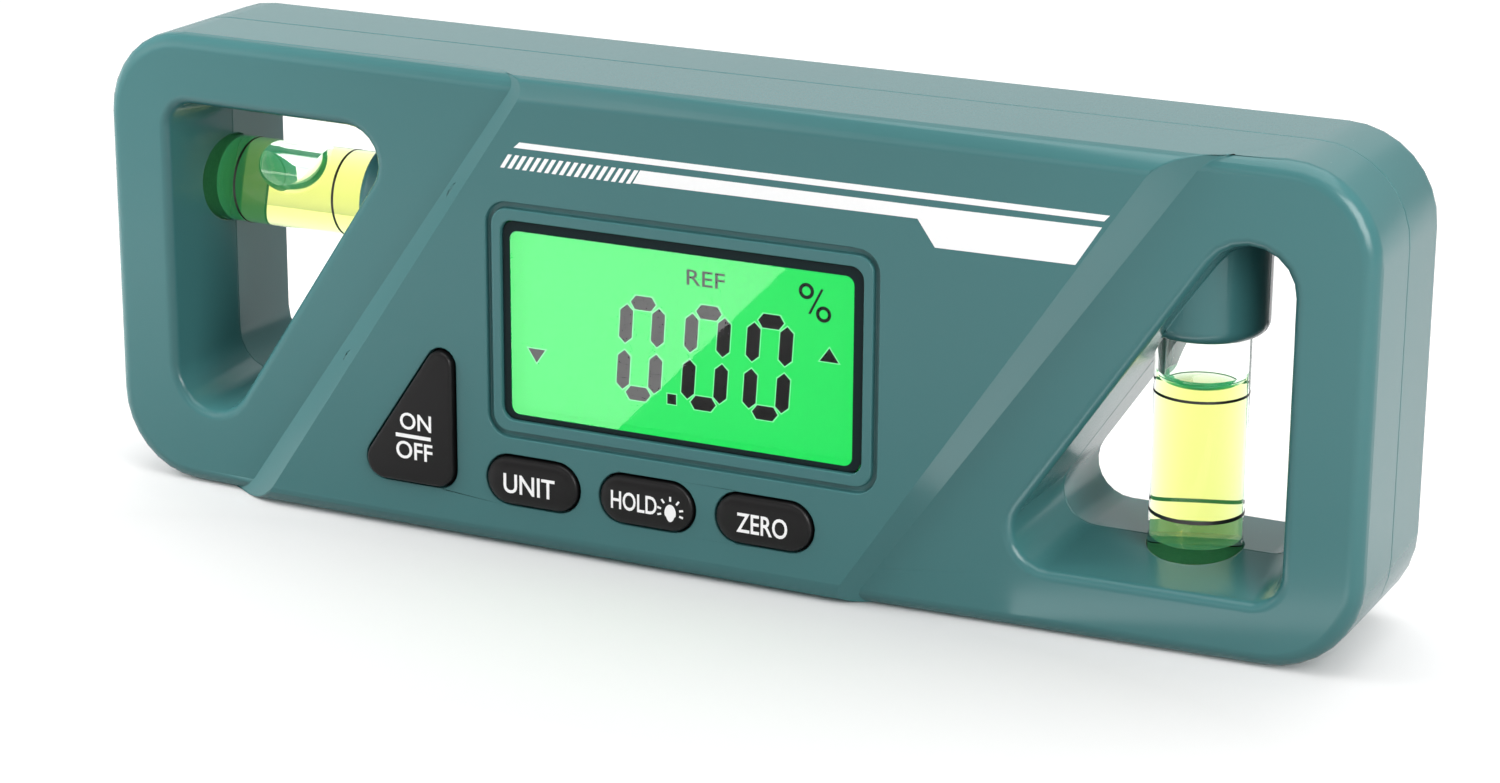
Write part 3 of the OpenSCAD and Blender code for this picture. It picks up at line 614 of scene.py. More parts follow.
# Painted highlight: a thin pale green rim glows around each figure, drawn as emission on the glass.
HALO = 0.12
HALO_FILM = 0.015
painted_segment_halos = cut_sheet("lcd_segment_edges", figure_outlines(HALO), LCD_FACE, HALO_FILM)
painted_halo_glow = lit_finish("painted_halo_glow", tone=(0.25, 0.95, 0.40), dim=0.9)
painted_segment_halos.data.materials.append(painted_halo_glow)
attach(painted_segment_halos, "housing")


# Light guide, contact strip and holder: a milky acrylic block behind the glass, a striped rubber connector
# under it and the white moulded frame that keeps them in line on the board. They are seen only when the
# case is open.
def dress(node, material):
    nodes[node].data.materials.clear()
    nodes[node].data.materials.append(material)


STRIPE_SCALE = 700
milk_acrylic = plastic(
    "milk_acrylic", tone=(0.80, 0.86, 0.78), mottle=0.05, gloss=0.25, grain=2500, relief=0.1, depth=0.01
)
holder_white = plastic(
    "holder_white", tone=(0.78, 0.78, 0.75), mottle=0.06, gloss=0.4, grain=4000, relief=0.2, depth=0.01
)
strip_rubber, strip_nodes, strip_links = finish_named("strip_rubber")
strip_place = strip_nodes.new("ShaderNodeTexCoord")
strip_bands = strip_nodes.new("ShaderNodeTexWave")
strip_bands.inputs["Scale"].default_value = STRIPE_SCALE
strip_blend = strip_nodes.new("ShaderNodeMix")
strip_blend.data_type = "RGBA"
strip_blend.inputs["A"].default_value = (0.55, 0.16, 0.20, 1)
strip_blend.inputs["B"].default_value = (0.02, 0.02, 0.02, 1)
strip_links.new(strip_place.outputs["Object"], strip_bands.inputs["Vector"])
strip_links.new(strip_bands.outputs["Fac"], strip_blend.inputs["Factor"])
strip_links.new(strip_blend.outputs["Result"], strip_nodes["Principled BSDF"].inputs["Base Color"])
strip_nodes["Principled BSDF"].inputs["Roughness"].default_value = 0.6
dress("backlight", milk_acrylic)
dress("contact_strip", strip_rubber)
dress("display_holder", holder_white)


# Circuit board and its parts: green solder mask on glass fibre, with black chips and key switches soldered
# on it. Small steel screws hold it to the shell's posts.
BRUSH_RELIEF = 0.15
BRUSH_DEPTH = 0.01


def metal(name, tone, gloss, scale, stretch=(1, 1, 1)):
    material, add, links = finish_named(name)
    shader = add["Principled BSDF"]
    shader.inputs["Base Color"].default_value = (*tone, 1)
    shader.inputs["Metallic"].default_value = 1.0
    place = add.new("ShaderNodeTexCoord")
    turn = add.new("ShaderNodeMapping")
    turn.inputs["Scale"].default_value = stretch
    brush = add.new("ShaderNodeTexNoise")
    brush.inputs["Scale"].default_value = scale
    brush.inputs["Detail"].default_value = 4
    links.new(place.outputs["Object"], turn.inputs["Vector"])
    links.new(turn.outputs["Vector"], brush.inputs["Vector"])
    span = add.new("ShaderNodeMapRange")
    span.inputs["To Min"].default_value = gloss - 0.08
    span.inputs["To Max"].default_value = gloss + 0.12
    links.new(brush.outputs["Fac"], span.inputs["Value"])
    links.new(span.outputs["Result"], shader.inputs["Roughness"])
    bump = add.new("ShaderNodeBump")
    bump.inputs["Strength"].default_value = BRUSH_RELIEF
    bump.inputs["Distance"].default_value = BRUSH_DEPTH * MM
    links.new(brush.outputs["Fac"], bump.inputs["Height"])
    links.new(bump.outputs["Normal"], shader.inputs["Normal"])
    return material


solder_mask = plastic(
    "solder_mask", tone=(0.012, 0.12, 0.045), mottle=0.3, gloss=0.3, grain=1500, relief=0.3, depth=0.02
)
chip_black = plastic(
    "chip_black", tone=(0.018, 0.018, 0.02), mottle=0.15, gloss=0.45, grain=3500, relief=0.3, depth=0.01
)
screw_steel = metal("screw_steel", tone=(0.58, 0.58, 0.60), gloss=0.3, scale=900)
dress("main_board", solder_mask)
for part in ("control_chip", "tilt_sensor", "key_switches"):
    dress(part, chip_black)
dress("board_screws", screw_steel)


# Keys: four silicone-coated caps in satin black, each held behind the panel by its flange. The power key
# is a flat three-cornered cap; the small ones are domed. Their words and the lamp sign are pad-printed
# in white.
def lofted(name, rings):
    start_clean()
    loops = []
    for points in rings:
        bpy.ops.object.select_all(action="DESELECT")
        bpy.ops.mesh.primitive_circle_add(vertices=len(points), radius=MM, fill_type="NOTHING")
        loop = bpy.context.object
        for vertex, place in zip(loop.data.vertices, points):
            vertex.co = [c * MM for c in place]
        loops.append(loop)
    piece = joined(name, loops)
    count = len(rings[0])
    bpy.ops.object.mode_set(mode="EDIT")
    bpy.ops.mesh.select_all(action="SELECT")
    bpy.ops.mesh.bridge_edge_loops()
    for end in (0, len(rings) - 1):
        bpy.ops.mesh.select_all(action="DESELECT")
        bpy.ops.object.mode_set(mode="OBJECT")
        for vertex in piece.data.vertices[end * count:(end + 1) * count]:
            vertex.select = True
        bpy.ops.object.mode_set(mode="EDIT")
        bpy.ops.mesh.select_mode(type="VERT")
        bpy.ops.mesh.edge_face_add()
    bpy.ops.mesh.select_all(action="SELECT")
    bpy.ops.mesh.normals_make_consistent(inside=False)
    bpy.ops.object.mode_set(mode="OBJECT")
    return piece


KEY_DIP = 0.05
KEY_DEPTH = 2.1
KEY_FRONT = cad_low.y / MM + KEY_DIP
KEY_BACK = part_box("front_shell")[0].y / MM + KEY_DEPTH
FLANGE_OUT = 0.8
FLANGE_THICK = 0.8
ROUND_UNDER = 40


def key_cap(name, outline_of, profile):
    rings = [[(x, y, z) for x, z in outline_of(-inset)] for inset, y in [(0.0, KEY_BACK)] + profile]
    cap = lofted(name, rings)
    flange = cut_sheet(name + "_flange", [outline_of(FLANGE_OUT)], KEY_BACK + FLANGE_THICK, FLANGE_THICK)
    cap = joined(name, [cap, flange])
    take_up(cap)
    bpy.ops.object.shade_smooth_by_angle(angle=math.radians(ROUND_UNDER))
    return cap


def crown(run, drop, steps):
    turns = [math.pi / 2 * k / steps for k in range(steps + 1)]
    return [(run * (1 - math.cos(a)), KEY_FRONT + drop * (1 - math.sin(a))) for a in turns]


key_black = plastic(
    "key_black", tone=(0.005, 0.0045, 0.0047), mottle=0.15, gloss=0.3,
    grain=4200, relief=0.2, depth=0.01, mirror=0.24,
)
SMALL_KEY_HALF = 5.65
SMALL_KEY_LOW, SMALL_KEY_HIGH = 5.3, 10.7
SMALL_KEY_R = 2.69
SMALL_KEY_CROWN = (1.9, 0.62, 7)
POWER_CORNERS = [(-40.78, 5.9), (-27.7, 5.9), (-27.7, 25.32)]
POWER_RADII = [2.2, 2.2, 1.6]
POWER_CROWN = (0.45, 0.45, 4)
KEY_SPOTS = {"unit_key": -17.8, "hold_key": -3.7, "zero_key": 10.4}


def small_key_shape(x):
    outline = box_outline(x - SMALL_KEY_HALF, SMALL_KEY_LOW, x + SMALL_KEY_HALF, SMALL_KEY_HIGH)
    return lambda grow: rounded(outline, [SMALL_KEY_R] * 4, 8, grow)


def power_shape(grow):
    return rounded(POWER_CORNERS, POWER_RADII, 10, grow)


keys = {"power_key": (power_shape, POWER_CROWN)}
for key, x in KEY_SPOTS.items():
    keys[key] = (small_key_shape(x), SMALL_KEY_CROWN)
for key, (shape, dome) in keys.items():
    cap = key_cap(key + "_cap", shape, crown(*dome))
    cap.data.materials.append(key_black)
    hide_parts(key)
    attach(cap, key)


INK_DIP = 0.07
KEY_INK = cad_low.y / MM + INK_DIP
KEY_FILM = 0.06
WORD_WEIGHT = 0.01
BULB_STEPS = 24
BULB_HALF = (0.68, 0.98)
NECK_BELOW, NECK_SHARE = -0.3, 0.78
RAY_ANGLES = (90, 52, 128, 14, 166, -16, 196)
RAY_START, RAY_START_LIFT = 1.12, 0.1
RAY_END, RAY_END_LIFT = 1.55, 0.2
RAY_HALF = 0.11
RAY_RISE = 0.12


def lamp_outlines(x, z):
    bulb = []
    for k in range(BULB_STEPS):
        a = 2 * math.pi * k / BULB_STEPS
        pinch = NECK_SHARE if math.sin(a) < NECK_BELOW else 1.0
        bulb.append((x + BULB_HALF[0] * pinch * math.cos(a), z + BULB_HALF[1] * math.sin(a)))
    outlines = [bulb]
    for angle in RAY_ANGLES:
        along = Vector((math.cos(math.radians(angle)), math.sin(math.radians(angle))))
        aside = Vector((-along.y, along.x)) * RAY_HALF
        middle = Vector((x, z + RAY_RISE))
        start = middle + along * (RAY_START + RAY_START_LIFT * abs(along.y))
        end = middle + along * (RAY_END + RAY_END_LIFT * abs(along.y))
        outlines.append([start + aside, start - aside, end - aside, end + aside])
    return outlines


def key_word(name, word, box):
    return lettering(name, word, box, KEY_INK, KEY_FILM, WORD_WEIGHT)


print_white = ink("print_white", tone=(0.86, 0.86, 0.86), patchy=0.05, gloss=0.45)
key_words = {
    "power_key": joined("power_key_print", [
        key_word("on_word", "ON", (-34.3, 12.15, -30.3, 14.1)),
        cut_sheet("word_bar", [box_outline(-34.88, 11.18, -30.38, 11.6)], KEY_INK, KEY_FILM),
        key_word("off_word", "OFF", (-34.86, 8.7, -30.2, 10.75)),
    ]),
    "unit_key": key_word("unit_key_print", "UNIT", (-21.15, 6.72, -14.75, 8.95)),
    "hold_key": joined("hold_key_print", [
        key_word("hold_word", "HOLD", (-7.75, 7.0, -2.18, 9.08)),
        cut_sheet("lamp_sign", lamp_outlines(-0.53, 7.5), KEY_INK, KEY_FILM),
    ]),
    "zero_key": key_word("zero_key_print", "ZERO", (7.45, 6.7, 13.45, 8.93)),
}
for key, words in key_words.items():
    words.data.materials.append(print_white)
    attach(words, key)


# Vials: turned acrylic tubes with a wall just over a millimetre, closed at one end and plugged at the
# other, and set in the windows' sockets; their closed ends are coloured dark green as painted shade. The
# chamber is filled with a yellow-green spirit that leaves a bubble or an air space and glows by painted
# emission; black rings are printed on the outside.
FINE_EDGE = 0.001


def turned(name, profile, steps=64):
    start_clean()
    bpy.ops.mesh.primitive_circle_add(vertices=len(profile), radius=MM, fill_type="NOTHING")
    piece = bpy.context.object
    piece.name = name
    for vertex, (r, h) in zip(piece.data.vertices, profile):
        vertex.co = (r * MM, 0, h * MM)
    bpy.ops.object.mode_set(mode="EDIT")
    bpy.ops.mesh.select_all(action="SELECT")
    bpy.ops.mesh.spin(
        steps=steps, angle=2 * math.pi, center=(0, 0, 0), axis=(0, 0, 1), use_auto_merge=True
    )
    bpy.ops.mesh.select_all(action="SELECT")
    bpy.ops.mesh.remove_doubles(threshold=FINE_MERGE * MM)
    bpy.ops.mesh.dissolve_degenerate(threshold=FINE_EDGE * MM)
    bpy.ops.mesh.select_all(action="SELECT")
    bpy.ops.mesh.normals_make_consistent(inside=False)
    bpy.ops.object.mode_set(mode="OBJECT")
    bpy.ops.object.shade_smooth_by_angle(angle=math.radians(ROUND_UNDER))
    return piece


def stand(piece, place):
    piece.data.transform(place)
    piece.data.update()
    return piece


VIAL_R, VIAL_L = 5.0, 28.0
VIAL_END, VIAL_END_R, VIAL_END_STEP = 1.6, 0.25, 0.07
MOUTH_EDGE = 0.2
CHAMBER_R = 3.9
PLUG_L, PLUG_EDGE = 2.6, 0.3
PLUG_FOOT = VIAL_L - PLUG_L
FLUID_R = CHAMBER_R - 0.02
level_low, level_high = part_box("level_vial")
level_mid = (level_low + level_high) / 2
LEVEL_END = Matrix.Translation((level_low.x, level_mid.y, level_mid.z))
LAY_LEVEL = LEVEL_END @ Matrix.Rotation(math.pi / 2, 4, "Y")
plumb_low, plumb_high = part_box("plumb_vial")
plumb_mid = (plumb_low + plumb_high) / 2
STAND_PLUMB = Matrix.Translation((plumb_mid.x, plumb_mid.y, plumb_low.z))
WALL_IOR, FREE_IOR = 1.015, 1.33
PAINTED_RIM_SHEEN = (0.03, 0.30, 0.12)
DYE = (0.80, 0.75, 0.002)
DYE_DENSITY = 205


# The spirit's finish: a dye that absorbs inside it and a painted glow by emission, weaker on the free
# surface; the UV map's X marks its free surface, and Y the front rim of that surface, which carries a
# painted rim sheen.
def dyed_with_painted_glow(name, wall_glow, free_glow, rim_glow):
    material = clear_finish(name, tone=(1, 1, 1), ior=WALL_IOR, gloss=0.0)
    add, links = material.node_tree.nodes, material.node_tree.links
    shader = add["Principled BSDF"]
    shader.inputs["Emission Strength"].default_value = 1.0
    mark = add.new("ShaderNodeTexCoord")
    split = add.new("ShaderNodeSeparateXYZ")
    links.new(mark.outputs["UV"], split.inputs[0])
    bend = add.new("ShaderNodeMapRange")
    bend.inputs["To Min"].default_value = WALL_IOR
    bend.inputs["To Max"].default_value = FREE_IOR
    links.new(split.outputs["X"], bend.inputs["Value"])
    links.new(bend.outputs["Result"], shader.inputs["IOR"])
    glow = None
    for share, marked_glow in (("X", free_glow), ("Y", rim_glow)):
        blend = add.new("ShaderNodeMix")
        blend.data_type = "RGBA"
        blend.inputs["A"].default_value = (*wall_glow, 1)
        blend.inputs["B"].default_value = (*marked_glow, 1)
        links.new(split.outputs[share], blend.inputs["Factor"])
        if glow:
            links.new(glow, blend.inputs["A"])
        glow = blend.outputs["Result"]
    links.new(glow, shader.inputs["Emission Color"])
    # Painted rim sheen: the front rim of the free surface is tinted green.
    painted_rim = add.new("ShaderNodeMix")
    painted_rim.data_type = "RGBA"
    painted_rim.inputs["A"].default_value = (1, 1, 1, 1)
    painted_rim.inputs["B"].default_value = (*PAINTED_RIM_SHEEN, 1)
    links.new(split.outputs["Y"], painted_rim.inputs["Factor"])
    links.new(painted_rim.outputs["Result"], shader.inputs["Base Color"])
    dye = add.new("ShaderNodeVolumeAbsorption")
    dye.inputs["Color"].default_value = (*DYE, 1)
    dye.inputs["Density"].default_value = DYE_DENSITY
    links.new(dye.outputs["Volume"], add["Material Output"].inputs["Volume"])
    return material


vial_acrylic = clear_finish("vial_acrylic", tone=(0.985, 1.0, 0.985), ior=1.2, gloss=0.0)
spirit = dyed_with_painted_glow(
    "green_spirit", wall_glow=(0.0127, 0.09, 0.035), free_glow=(0.004, 0.05, 0.02),
    rim_glow=(0.004, 0.09, 0.03),
)
ring_ink = ink("ring_ink", tone=(0.006, 0.006, 0.006), patchy=0.2, gloss=0.4)
# Painted shade: the vials' closed ends are coloured dark green, as the shade in their sockets.
painted_end_shade = ink("painted_end_shade", tone=(0.045, 0.20, 0.09), patchy=0.3, gloss=0.6, mirror=0.0)
NEAR = 0.01


def tube(name, wet_top):
    piece = turned(name, [
        (0, 0), (VIAL_R - VIAL_END_R, 0), (VIAL_R - VIAL_END_STEP, VIAL_END_STEP), (VIAL_R, VIAL_END_R),
        (VIAL_R, VIAL_L - MOUTH_EDGE), (VIAL_R - MOUTH_EDGE, VIAL_L), (CHAMBER_R, VIAL_L),
        (CHAMBER_R, wet_top), (CHAMBER_R, VIAL_END), (0, VIAL_END),
    ])
    piece.data.materials.append(vial_acrylic)
    piece.data.materials.append(clear_bond)
    piece.data.materials.append(painted_end_shade)
    for face in piece.data.polygons:
        around = [piece.data.vertices[v].co / MM for v in face.vertices]
        far = max(math.hypot(point.x, point.y) for point in around)
        low, high = min(point.z for point in around), max(point.z for point in around)
        if far < CHAMBER_R + NEAR and low > VIAL_END - NEAR and high < wet_top + NEAR:
            face.material_index = 1
        # The closed end's disc takes the painted shade.
        elif high < 2 * NEAR:
            face.material_index = 2
    return piece


def mark_free(piece, share):
    while piece.data.uv_layers:
        piece.data.uv_layers.remove(piece.data.uv_layers[0])
    marks = piece.data.uv_layers.new(name="free_surface")
    for face in piece.data.polygons:
        free = share([piece.data.vertices[v].co / MM for v in face.vertices])
        for corner in face.loop_indices:
            marks.data[corner].uv = free


RING_SUNK, RING_PROUD = 0.01, 0.02


def rings(name, heights, place):
    inner, outer = VIAL_R - RING_SUNK, VIAL_R + RING_PROUD
    parts = []
    for h, width in heights:
        low, high = h - width / 2, h + width / 2
        parts.append(turned(name, [(inner, low), (outer, low), (outer, high), (inner, high)]))
    piece = stand(joined(name, parts), place)
    piece.data.materials.append(ring_ink)
    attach(piece, "housing")


level_tube = stand(tube("level_tube", PLUG_FOOT), LAY_LEVEL)
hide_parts("level_vial")
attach(level_tube, "housing")
level_spirit = turned("level_spirit", [
    (0, VIAL_END), (FLUID_R, VIAL_END), (FLUID_R, PLUG_FOOT), (0, PLUG_FOOT)
])
level_spirit.data.materials.append(spirit)
BUBBLE_MID, BUBBLE_LIFT = 10.1, 2.3
BUBBLE_HALF = (3.0, 4.3, 4.25)
BUBBLE_BORE = CHAMBER_R - 0.1
BORE_LOW, BORE_HIGH = 3, 22
start_clean()
bpy.ops.mesh.primitive_uv_sphere_add(segments=96, ring_count=64, radius=1)
bubble = bpy.context.object
bubble_place = Matrix.Translation((-BUBBLE_LIFT * MM, 0, BUBBLE_MID * MM))
bubble.data.transform(bubble_place @ Matrix.Diagonal((*[half * MM for half in BUBBLE_HALF], 1)))
bore = turned("bubble_bore", [
    (0, BORE_LOW), (BUBBLE_BORE, BORE_LOW), (BUBBLE_BORE, BORE_HIGH), (0, BORE_HIGH)
], 96)
cap = bubble.modifiers.new("chamber_wall", "BOOLEAN")
cap.operation = "INTERSECT"
cap.object = bore
take_up(bubble)
bpy.ops.object.modifier_apply(modifier=cap.name)
bpy.data.objects.remove(bore)
bpy.ops.object.shade_smooth_by_angle(angle=math.radians(ROUND_UNDER))
take_up(bubble)
bpy.ops.object.mode_set(mode="EDIT")
bpy.ops.mesh.select_all(action="SELECT")
bpy.ops.mesh.flip_normals()
bpy.ops.object.mode_set(mode="OBJECT")
bubble.data.materials.append(spirit)
level_spirit = joined("level_spirit", [level_spirit, bubble])
WALL_MARGIN, END_MARGIN = 0.04, 1


def bubble_share(around):
    off_wall = max(math.hypot(point.x, point.y) for point in around) < FLUID_R - WALL_MARGIN
    above = min(point.z for point in around) > VIAL_END + END_MARGIN
    below = max(point.z for point in around) < PLUG_FOOT - END_MARGIN
    return (1.0 if off_wall and above and below else 0.0, 0.0)


mark_free(level_spirit, bubble_share)
level_spirit = stand(level_spirit, LAY_LEVEL)
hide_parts("level_fluid")
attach(level_spirit, "housing")
rings("level_rings", [(4.5, 0.3), (17.7, 0.3)], LAY_LEVEL)

plumb_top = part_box("plumb_fluid")[1].z / MM - plumb_low.z / MM
plumb_tube = stand(tube("plumb_tube", plumb_top), STAND_PLUMB)
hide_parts("plumb_vial")
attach(plumb_tube, "housing")
MENISCUS = ((0, 0), (0.10, 0.45), (0.30, 0.8), (0.7, 1.02), (1.4, 1.1), (2.2, 1.12), (FLUID_R, 1.15))
MENISCUS_DEPTH = 1.2
RIM_REACH = 1.5
surface = [(FLUID_R - inward, plumb_top - drop) for inward, drop in MENISCUS]
plumb_spirit = turned("plumb_spirit", [(0, VIAL_END), (FLUID_R, VIAL_END)] + surface)
plumb_spirit.data.materials.append(spirit)


def meniscus_share(around):
    free = min(point.z for point in around) > plumb_top - MENISCUS_DEPTH
    at_wall = min(math.hypot(point.x, point.y) for point in around) > FLUID_R - RIM_REACH
    # Only the front half of the free surface's rim takes the painted rim sheen.
    in_front = around[0].y < 0
    return (1.0 if free else 0.0, 1.0 if free and at_wall and in_front else 0.0)


mark_free(plumb_spirit, meniscus_share)
plumb_spirit = stand(plumb_spirit, STAND_PLUMB)
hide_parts("plumb_fluid")
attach(plumb_spirit, "housing")
rings("plumb_rings", [(4.8, 0.42), (17.8, 0.3)], STAND_PLUMB)

plug_green = plastic(
    "plug_green", tone=(0.45, 0.62, 0.35), mottle=0.1, gloss=0.3, grain=3000, relief=0.15, depth=0.01
)
for vial, place in (("level", LAY_LEVEL), ("plumb", STAND_PLUMB)):
    plug = stand(turned(vial + "_stopper", [
        (0, PLUG_FOOT), (FLUID_R - PLUG_EDGE, PLUG_FOOT), (FLUID_R, PLUG_FOOT + PLUG_EDGE),
        (FLUID_R, VIAL_L - MOUTH_EDGE), (FLUID_R - MOUTH_EDGE, VIAL_L), (0, VIAL_L),
    ]), place)
    plug.data.materials.append(plug_green)
    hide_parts(vial + "_plug")
    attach(plug, "housing")


# Rear shell: the back half of the housing, moulded in the same teal ABS. It closes on the front shell at
# the parting plane, carries the battery tray and takes six screws from behind.
rear_shell = moulding("rear_shell", "rear_shell_moulding", EDGE_BREAK)
rear_shell.data.materials.append(teal_abs)
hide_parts("rear_shell")
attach(rear_shell, "housing")


# Battery cells and contacts: two small steel cells in dark jackets that leave their ends bare. They lie in
# the rear shell's tray, between contacts stamped from spring steel and plated.
CELL_EDGE = 0.35
BARE_END = 1.4
cell_steel = metal("cell_steel", tone=(0.62, 0.62, 0.60), gloss=0.3, scale=600)
contact_steel = metal("contact_steel", tone=(0.70, 0.69, 0.66), gloss=0.22, scale=500, stretch=(1, 1, 6))
cell_jacket = plastic(
    "cell_jacket", tone=(0.035, 0.038, 0.045), mottle=0.2, gloss=0.22, grain=900, relief=0.1, depth=0.01
)
for node in ("upper_cell", "lower_cell"):
    cell = moulding(node, node + "_jacket", CELL_EDGE, angle=40)
    cell.data.materials.append(cell_jacket)
    cell.data.materials.append(cell_steel)
    low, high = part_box(node)
    for face in cell.data.polygons:
        from_end = min(face.center.x - low.x, high.x - face.center.x)
        if abs(face.normal.x) > 0.5 or from_end < BARE_END * MM:
            face.material_index = 1
    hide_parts(node)
    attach(cell, "housing")
for node in ("bridge_contact", "end_contacts", "cell_springs"):
    dress(node, contact_steel)


# Battery door: a cover moulded in the same teal ABS, let in flush with the back over the cells. It has a
# ribbed thumb grip and lifts straight off.
door = moulding("battery_door", "battery_door_cover", EDGE_BREAK)
door.data.materials.append(teal_abs)
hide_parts("battery_door")
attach(door, "battery_door")


# Screws and magnets: six cross-recessed steel screws, sunk in the back, hold the shells together. Four
# nickel-plated magnets let into the base hold the gauge to steel.
nickel = metal("nickel", tone=(0.66, 0.64, 0.60), gloss=0.2, scale=400)
dress("case_screws", screw_steel)
dress("base_magnets", nickel)


# Panel print: a thin white line, a hatch of slanted bars and a bar that widens into a bare white plate,
# screen-printed on the raised panel.
PANEL_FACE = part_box("front_shell")[0].y / MM
PRINT_FILM = 0.025
HATCH_BARS, HATCH_START, HATCH_PITCH = 18, -20.4, 0.9
HATCH_BAR, HATCH_LEAN = 0.5, 1.0
HATCH_LOW, HATCH_HIGH = 43.3, 44.85
THIN_LINE = [(-19.7, 45.65), (47.7, 45.65), (48.3, 46.3), (-19.0, 46.3)]
PLATE_BAR = [
    (-5.3, 43.4), (27.5, 43.5), (29.5, 40.7), (44.8, 40.8), (47.5, 45.0), (29.0, 44.9), (-4.4, 44.9)
]
hatch = []
for i in range(HATCH_BARS):
    x = HATCH_START + i * HATCH_PITCH
    foot = x - HATCH_LEAN
    hatch.append([
        (foot, HATCH_LOW), (foot + HATCH_BAR, HATCH_LOW), (x + HATCH_BAR, HATCH_HIGH), (x, HATCH_HIGH)
    ])
panel_print = cut_sheet("panel_print", hatch + [THIN_LINE, PLATE_BAR], PANEL_FACE, PRINT_FILM)
panel_print.data.materials.append(print_white)
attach(panel_print, "housing")


# Studio: a pale paper floor whose glow fades out near the gauge as a painted shadow, a white backdrop and an
# even white room.
# Soft boxes stand above, behind, at the right and at the left; a strip in front, a card on the floor and
# one at the left only show in the plastic's sheen.
FLOOR_TONE = (0.57, 0.57, 0.57)
FLOOR_SINK = 0.05
FLOOR_GLOW = 0.55
# Painted shadow: the floor's glow is off close to the gauge and grows towards the edges.
PAINTED_SHADOW_PLACE, PAINTED_SHADOW_STRETCH = (0, 0.032, 0), (0.3, 1, 1)
PAINTED_SHADOW_REACH, BRIGHT_REACH = 0.022, 0.075
start_clean()
bpy.ops.mesh.primitive_plane_add(size=5, location=(0, 0, -FLOOR_SINK * MM))
floor = bpy.context.object
floor.name = "studio_floor"
floor_paper, floor_nodes, floor_links = finish_named("floor_paper")
floor_shader = floor_nodes["Principled BSDF"]
floor_shader.inputs["Base Color"].default_value = (*FLOOR_TONE, 1)
floor_shader.inputs["Roughness"].default_value = 0.9
floor_shader.inputs["Emission Color"].default_value = (1, 1, 1, 1)
floor_place = floor_nodes.new("ShaderNodeTexCoord")
floor_turn = floor_nodes.new("ShaderNodeMapping")
floor_turn.inputs["Location"].default_value = PAINTED_SHADOW_PLACE
floor_turn.inputs["Scale"].default_value = PAINTED_SHADOW_STRETCH
floor_reach = floor_nodes.new("ShaderNodeVectorMath")
floor_reach.operation = "LENGTH"
floor_glow_and_shadow = floor_nodes.new("ShaderNodeMapRange")
floor_glow_and_shadow.inputs["From Min"].default_value = PAINTED_SHADOW_REACH
floor_glow_and_shadow.inputs["From Max"].default_value = BRIGHT_REACH
floor_glow_and_shadow.inputs["To Min"].default_value = 0.0
floor_glow_and_shadow.inputs["To Max"].default_value = FLOOR_GLOW
floor_links.new(floor_place.outputs["Object"], floor_turn.inputs["Vector"])
floor_links.new(floor_turn.outputs["Vector"], floor_reach.inputs[0])
floor_links.new(floor_reach.outputs["Value"], floor_glow_and_shadow.inputs["Value"])
floor_links.new(floor_glow_and_shadow.outputs["Result"], floor_shader.inputs["Emission Strength"])
floor.data.materials.append(floor_paper)
floor.visible_diffuse = False

start_clean()
bpy.ops.mesh.primitive_plane_add(size=6, location=(0, 1.4, 0), rotation=(math.pi / 2, 0, 0))
backdrop = bpy.context.object
backdrop.name = "studio_backdrop"
backdrop_paper, backdrop_nodes, _ = finish_named("backdrop_paper")
backdrop_shader = backdrop_nodes["Principled BSDF"]
backdrop_shader.inputs["Emission Color"].default_value = (1, 1, 1, 1)
backdrop_shader.inputs["Emission Strength"].default_value = 1.0
backdrop.data.materials.append(backdrop_paper)
backdrop.visible_diffuse = False
backdrop.visible_glossy = False

world = bpy.data.worlds.new("white_room")
bpy.context.scene.world = world
world.use_nodes = True
white_room = world.node_tree.nodes["Background"]
white_room.inputs["Color"].default_value = (1, 1, 1, 1)
white_room.inputs["Strength"].default_value = 0.5


def soft_box(name, place, aim, width, height, power):
    start_clean()
    bpy.ops.object.light_add(type="AREA", location=[c * MM for c in place])
    light = bpy.context.object
    light.name = name
    light.data.shape = "RECTANGLE"
    light.data.size = width * MM
    light.data.size_y = height * MM
    light.data.energy = power
    light.rotation_euler = (Vector(aim) - Vector(place)).to_track_quat("-Z", "Y").to_euler()
    light.visible_camera = False
    return light


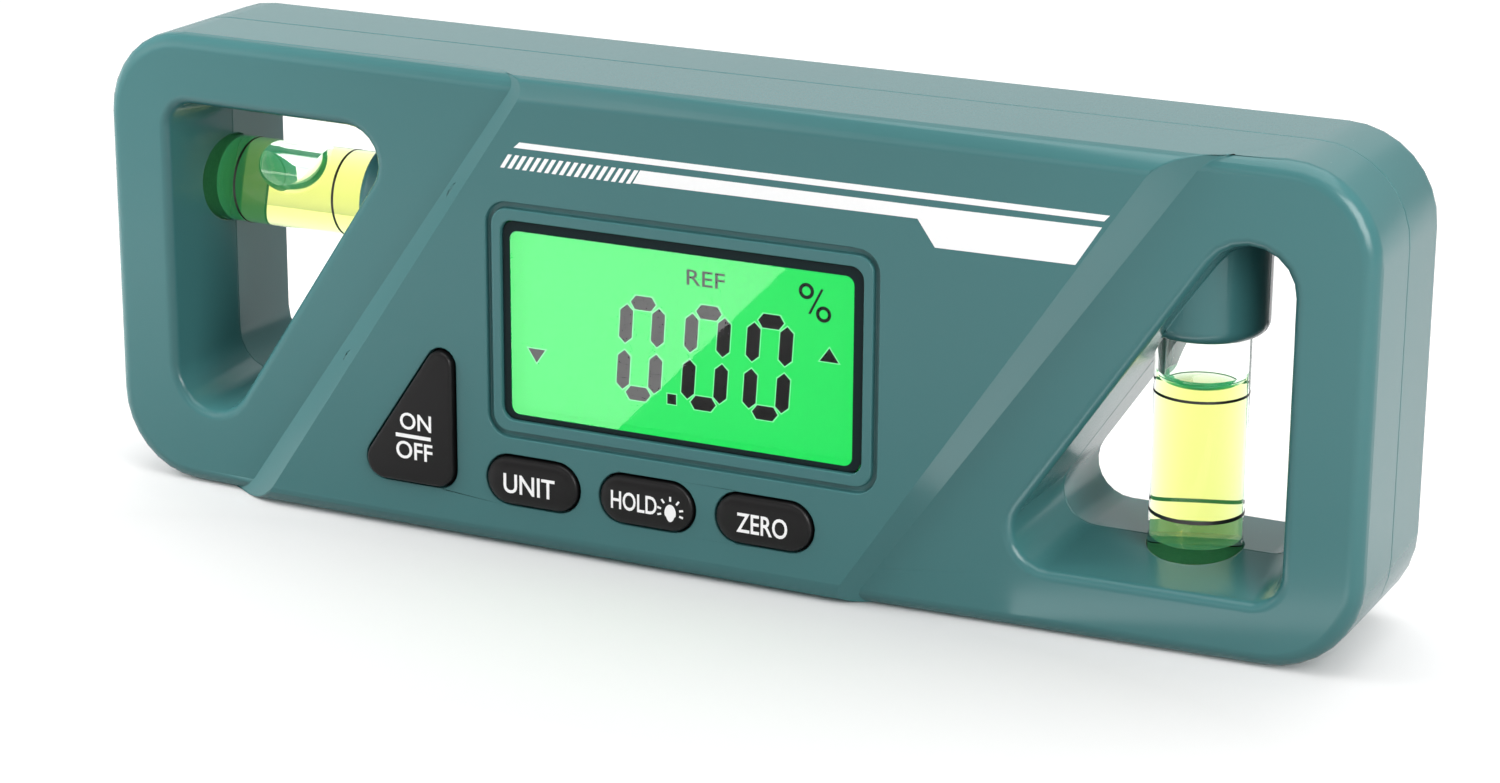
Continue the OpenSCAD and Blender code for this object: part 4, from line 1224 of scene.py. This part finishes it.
soft_box("top_box", (60, 20, 520), (0, 0, 20), 700, 500, 2.6)
back_box = soft_box("back_box", (-350, 900, 330), (0, 0, 40), 1100, 500, 0.76)
back_box.visible_transmission = False
front_strip = soft_box("front_strip", (-70, -135, 85), (-4, -12, 10), 260, 50, 0.045)
soft_box("right_box", (190, -110, 110), (40, -10, 30), 100, 120, 0.36)
left_box = soft_box("left_box", (-175, -70, 95), (-40, -10, 30), 100, 120, 0.34)
left_box.visible_glossy = False
CARD_TURN = -16.7
floor_card = soft_box("floor_card", (61, -23.6, 0.6), (61, -23.6, 50), 52, 9, 0.0043)
floor_card.rotation_euler = (math.pi, 0, math.radians(CARD_TURN))
left_card = soft_box("left_card", (-400, 20, 45), (-30, -11, 30), 260, 140, 0.08)
for card in (front_strip, floor_card, left_card):
    card.visible_diffuse = False


# Glare: a small soft box close in front of the display, turned so that its edge slants as the pale sheen on
# the lens does. It lights the lens alone.
glare = soft_box("glare_box", (-29.7, -46.6, 28.0), (-29.7, 0, 28.0), 60, 40, 0.07)
across = Vector((-21.77, 0, -22.56)).normalized()
glare.matrix_world = Matrix.Translation(glare.location) @ Matrix((
    (across.x, -across.z, 0), (0, 0, -1), (across.z, across.x, 0)
)).to_4x4()
lens_only = bpy.data.collections.new("lens_only")
lens_only.objects.link(lens)
glare.light_linking.receiver_collection = lens_only


# Camera: the photograph's place, turn and angle of view, solved from the body's edges. The lens is in the
# photograph's pixels, and nothing is out of focus.
AZIMUTH, ELEVATION, ROLL = (math.radians(a) for a in (26.189, 17.154, -0.323))
EYE = (0.1741, -0.34975, 0.1395)
SENSOR = 36
FOCAL_PIXELS, PHOTO_PIXELS = 3729, 1500
SHIFT_X, SHIFT_Y = 0.0032, -0.0065
back = Vector((
    math.sin(AZIMUTH) * math.cos(ELEVATION),
    -math.cos(AZIMUTH) * math.cos(ELEVATION),
    math.sin(ELEVATION),
))
right = (-back).cross(Vector((0, 0, 1))).normalized()
down = (-back).cross(right)
level = math.cos(ROLL) * right + math.sin(ROLL) * down
plumb = -math.sin(ROLL) * right + math.cos(ROLL) * down
start_clean()
bpy.ops.object.camera_add()
camera = bpy.context.object
camera.matrix_world = Matrix.Translation(EYE) @ Matrix((
    (level.x, -plumb.x, back.x), (level.y, -plumb.y, back.y), (level.z, -plumb.z, back.z)
)).to_4x4()
camera.data.sensor_width = SENSOR
camera.data.lens = SENSOR * FOCAL_PIXELS / PHOTO_PIXELS
camera.data.shift_x = SHIFT_X
camera.data.shift_y = SHIFT_Y
camera.data.clip_start = 0.01
camera.data.clip_end = 20
bpy.context.scene.camera = camera
bpy.context.scene.view_settings.view_transform = "Standard"
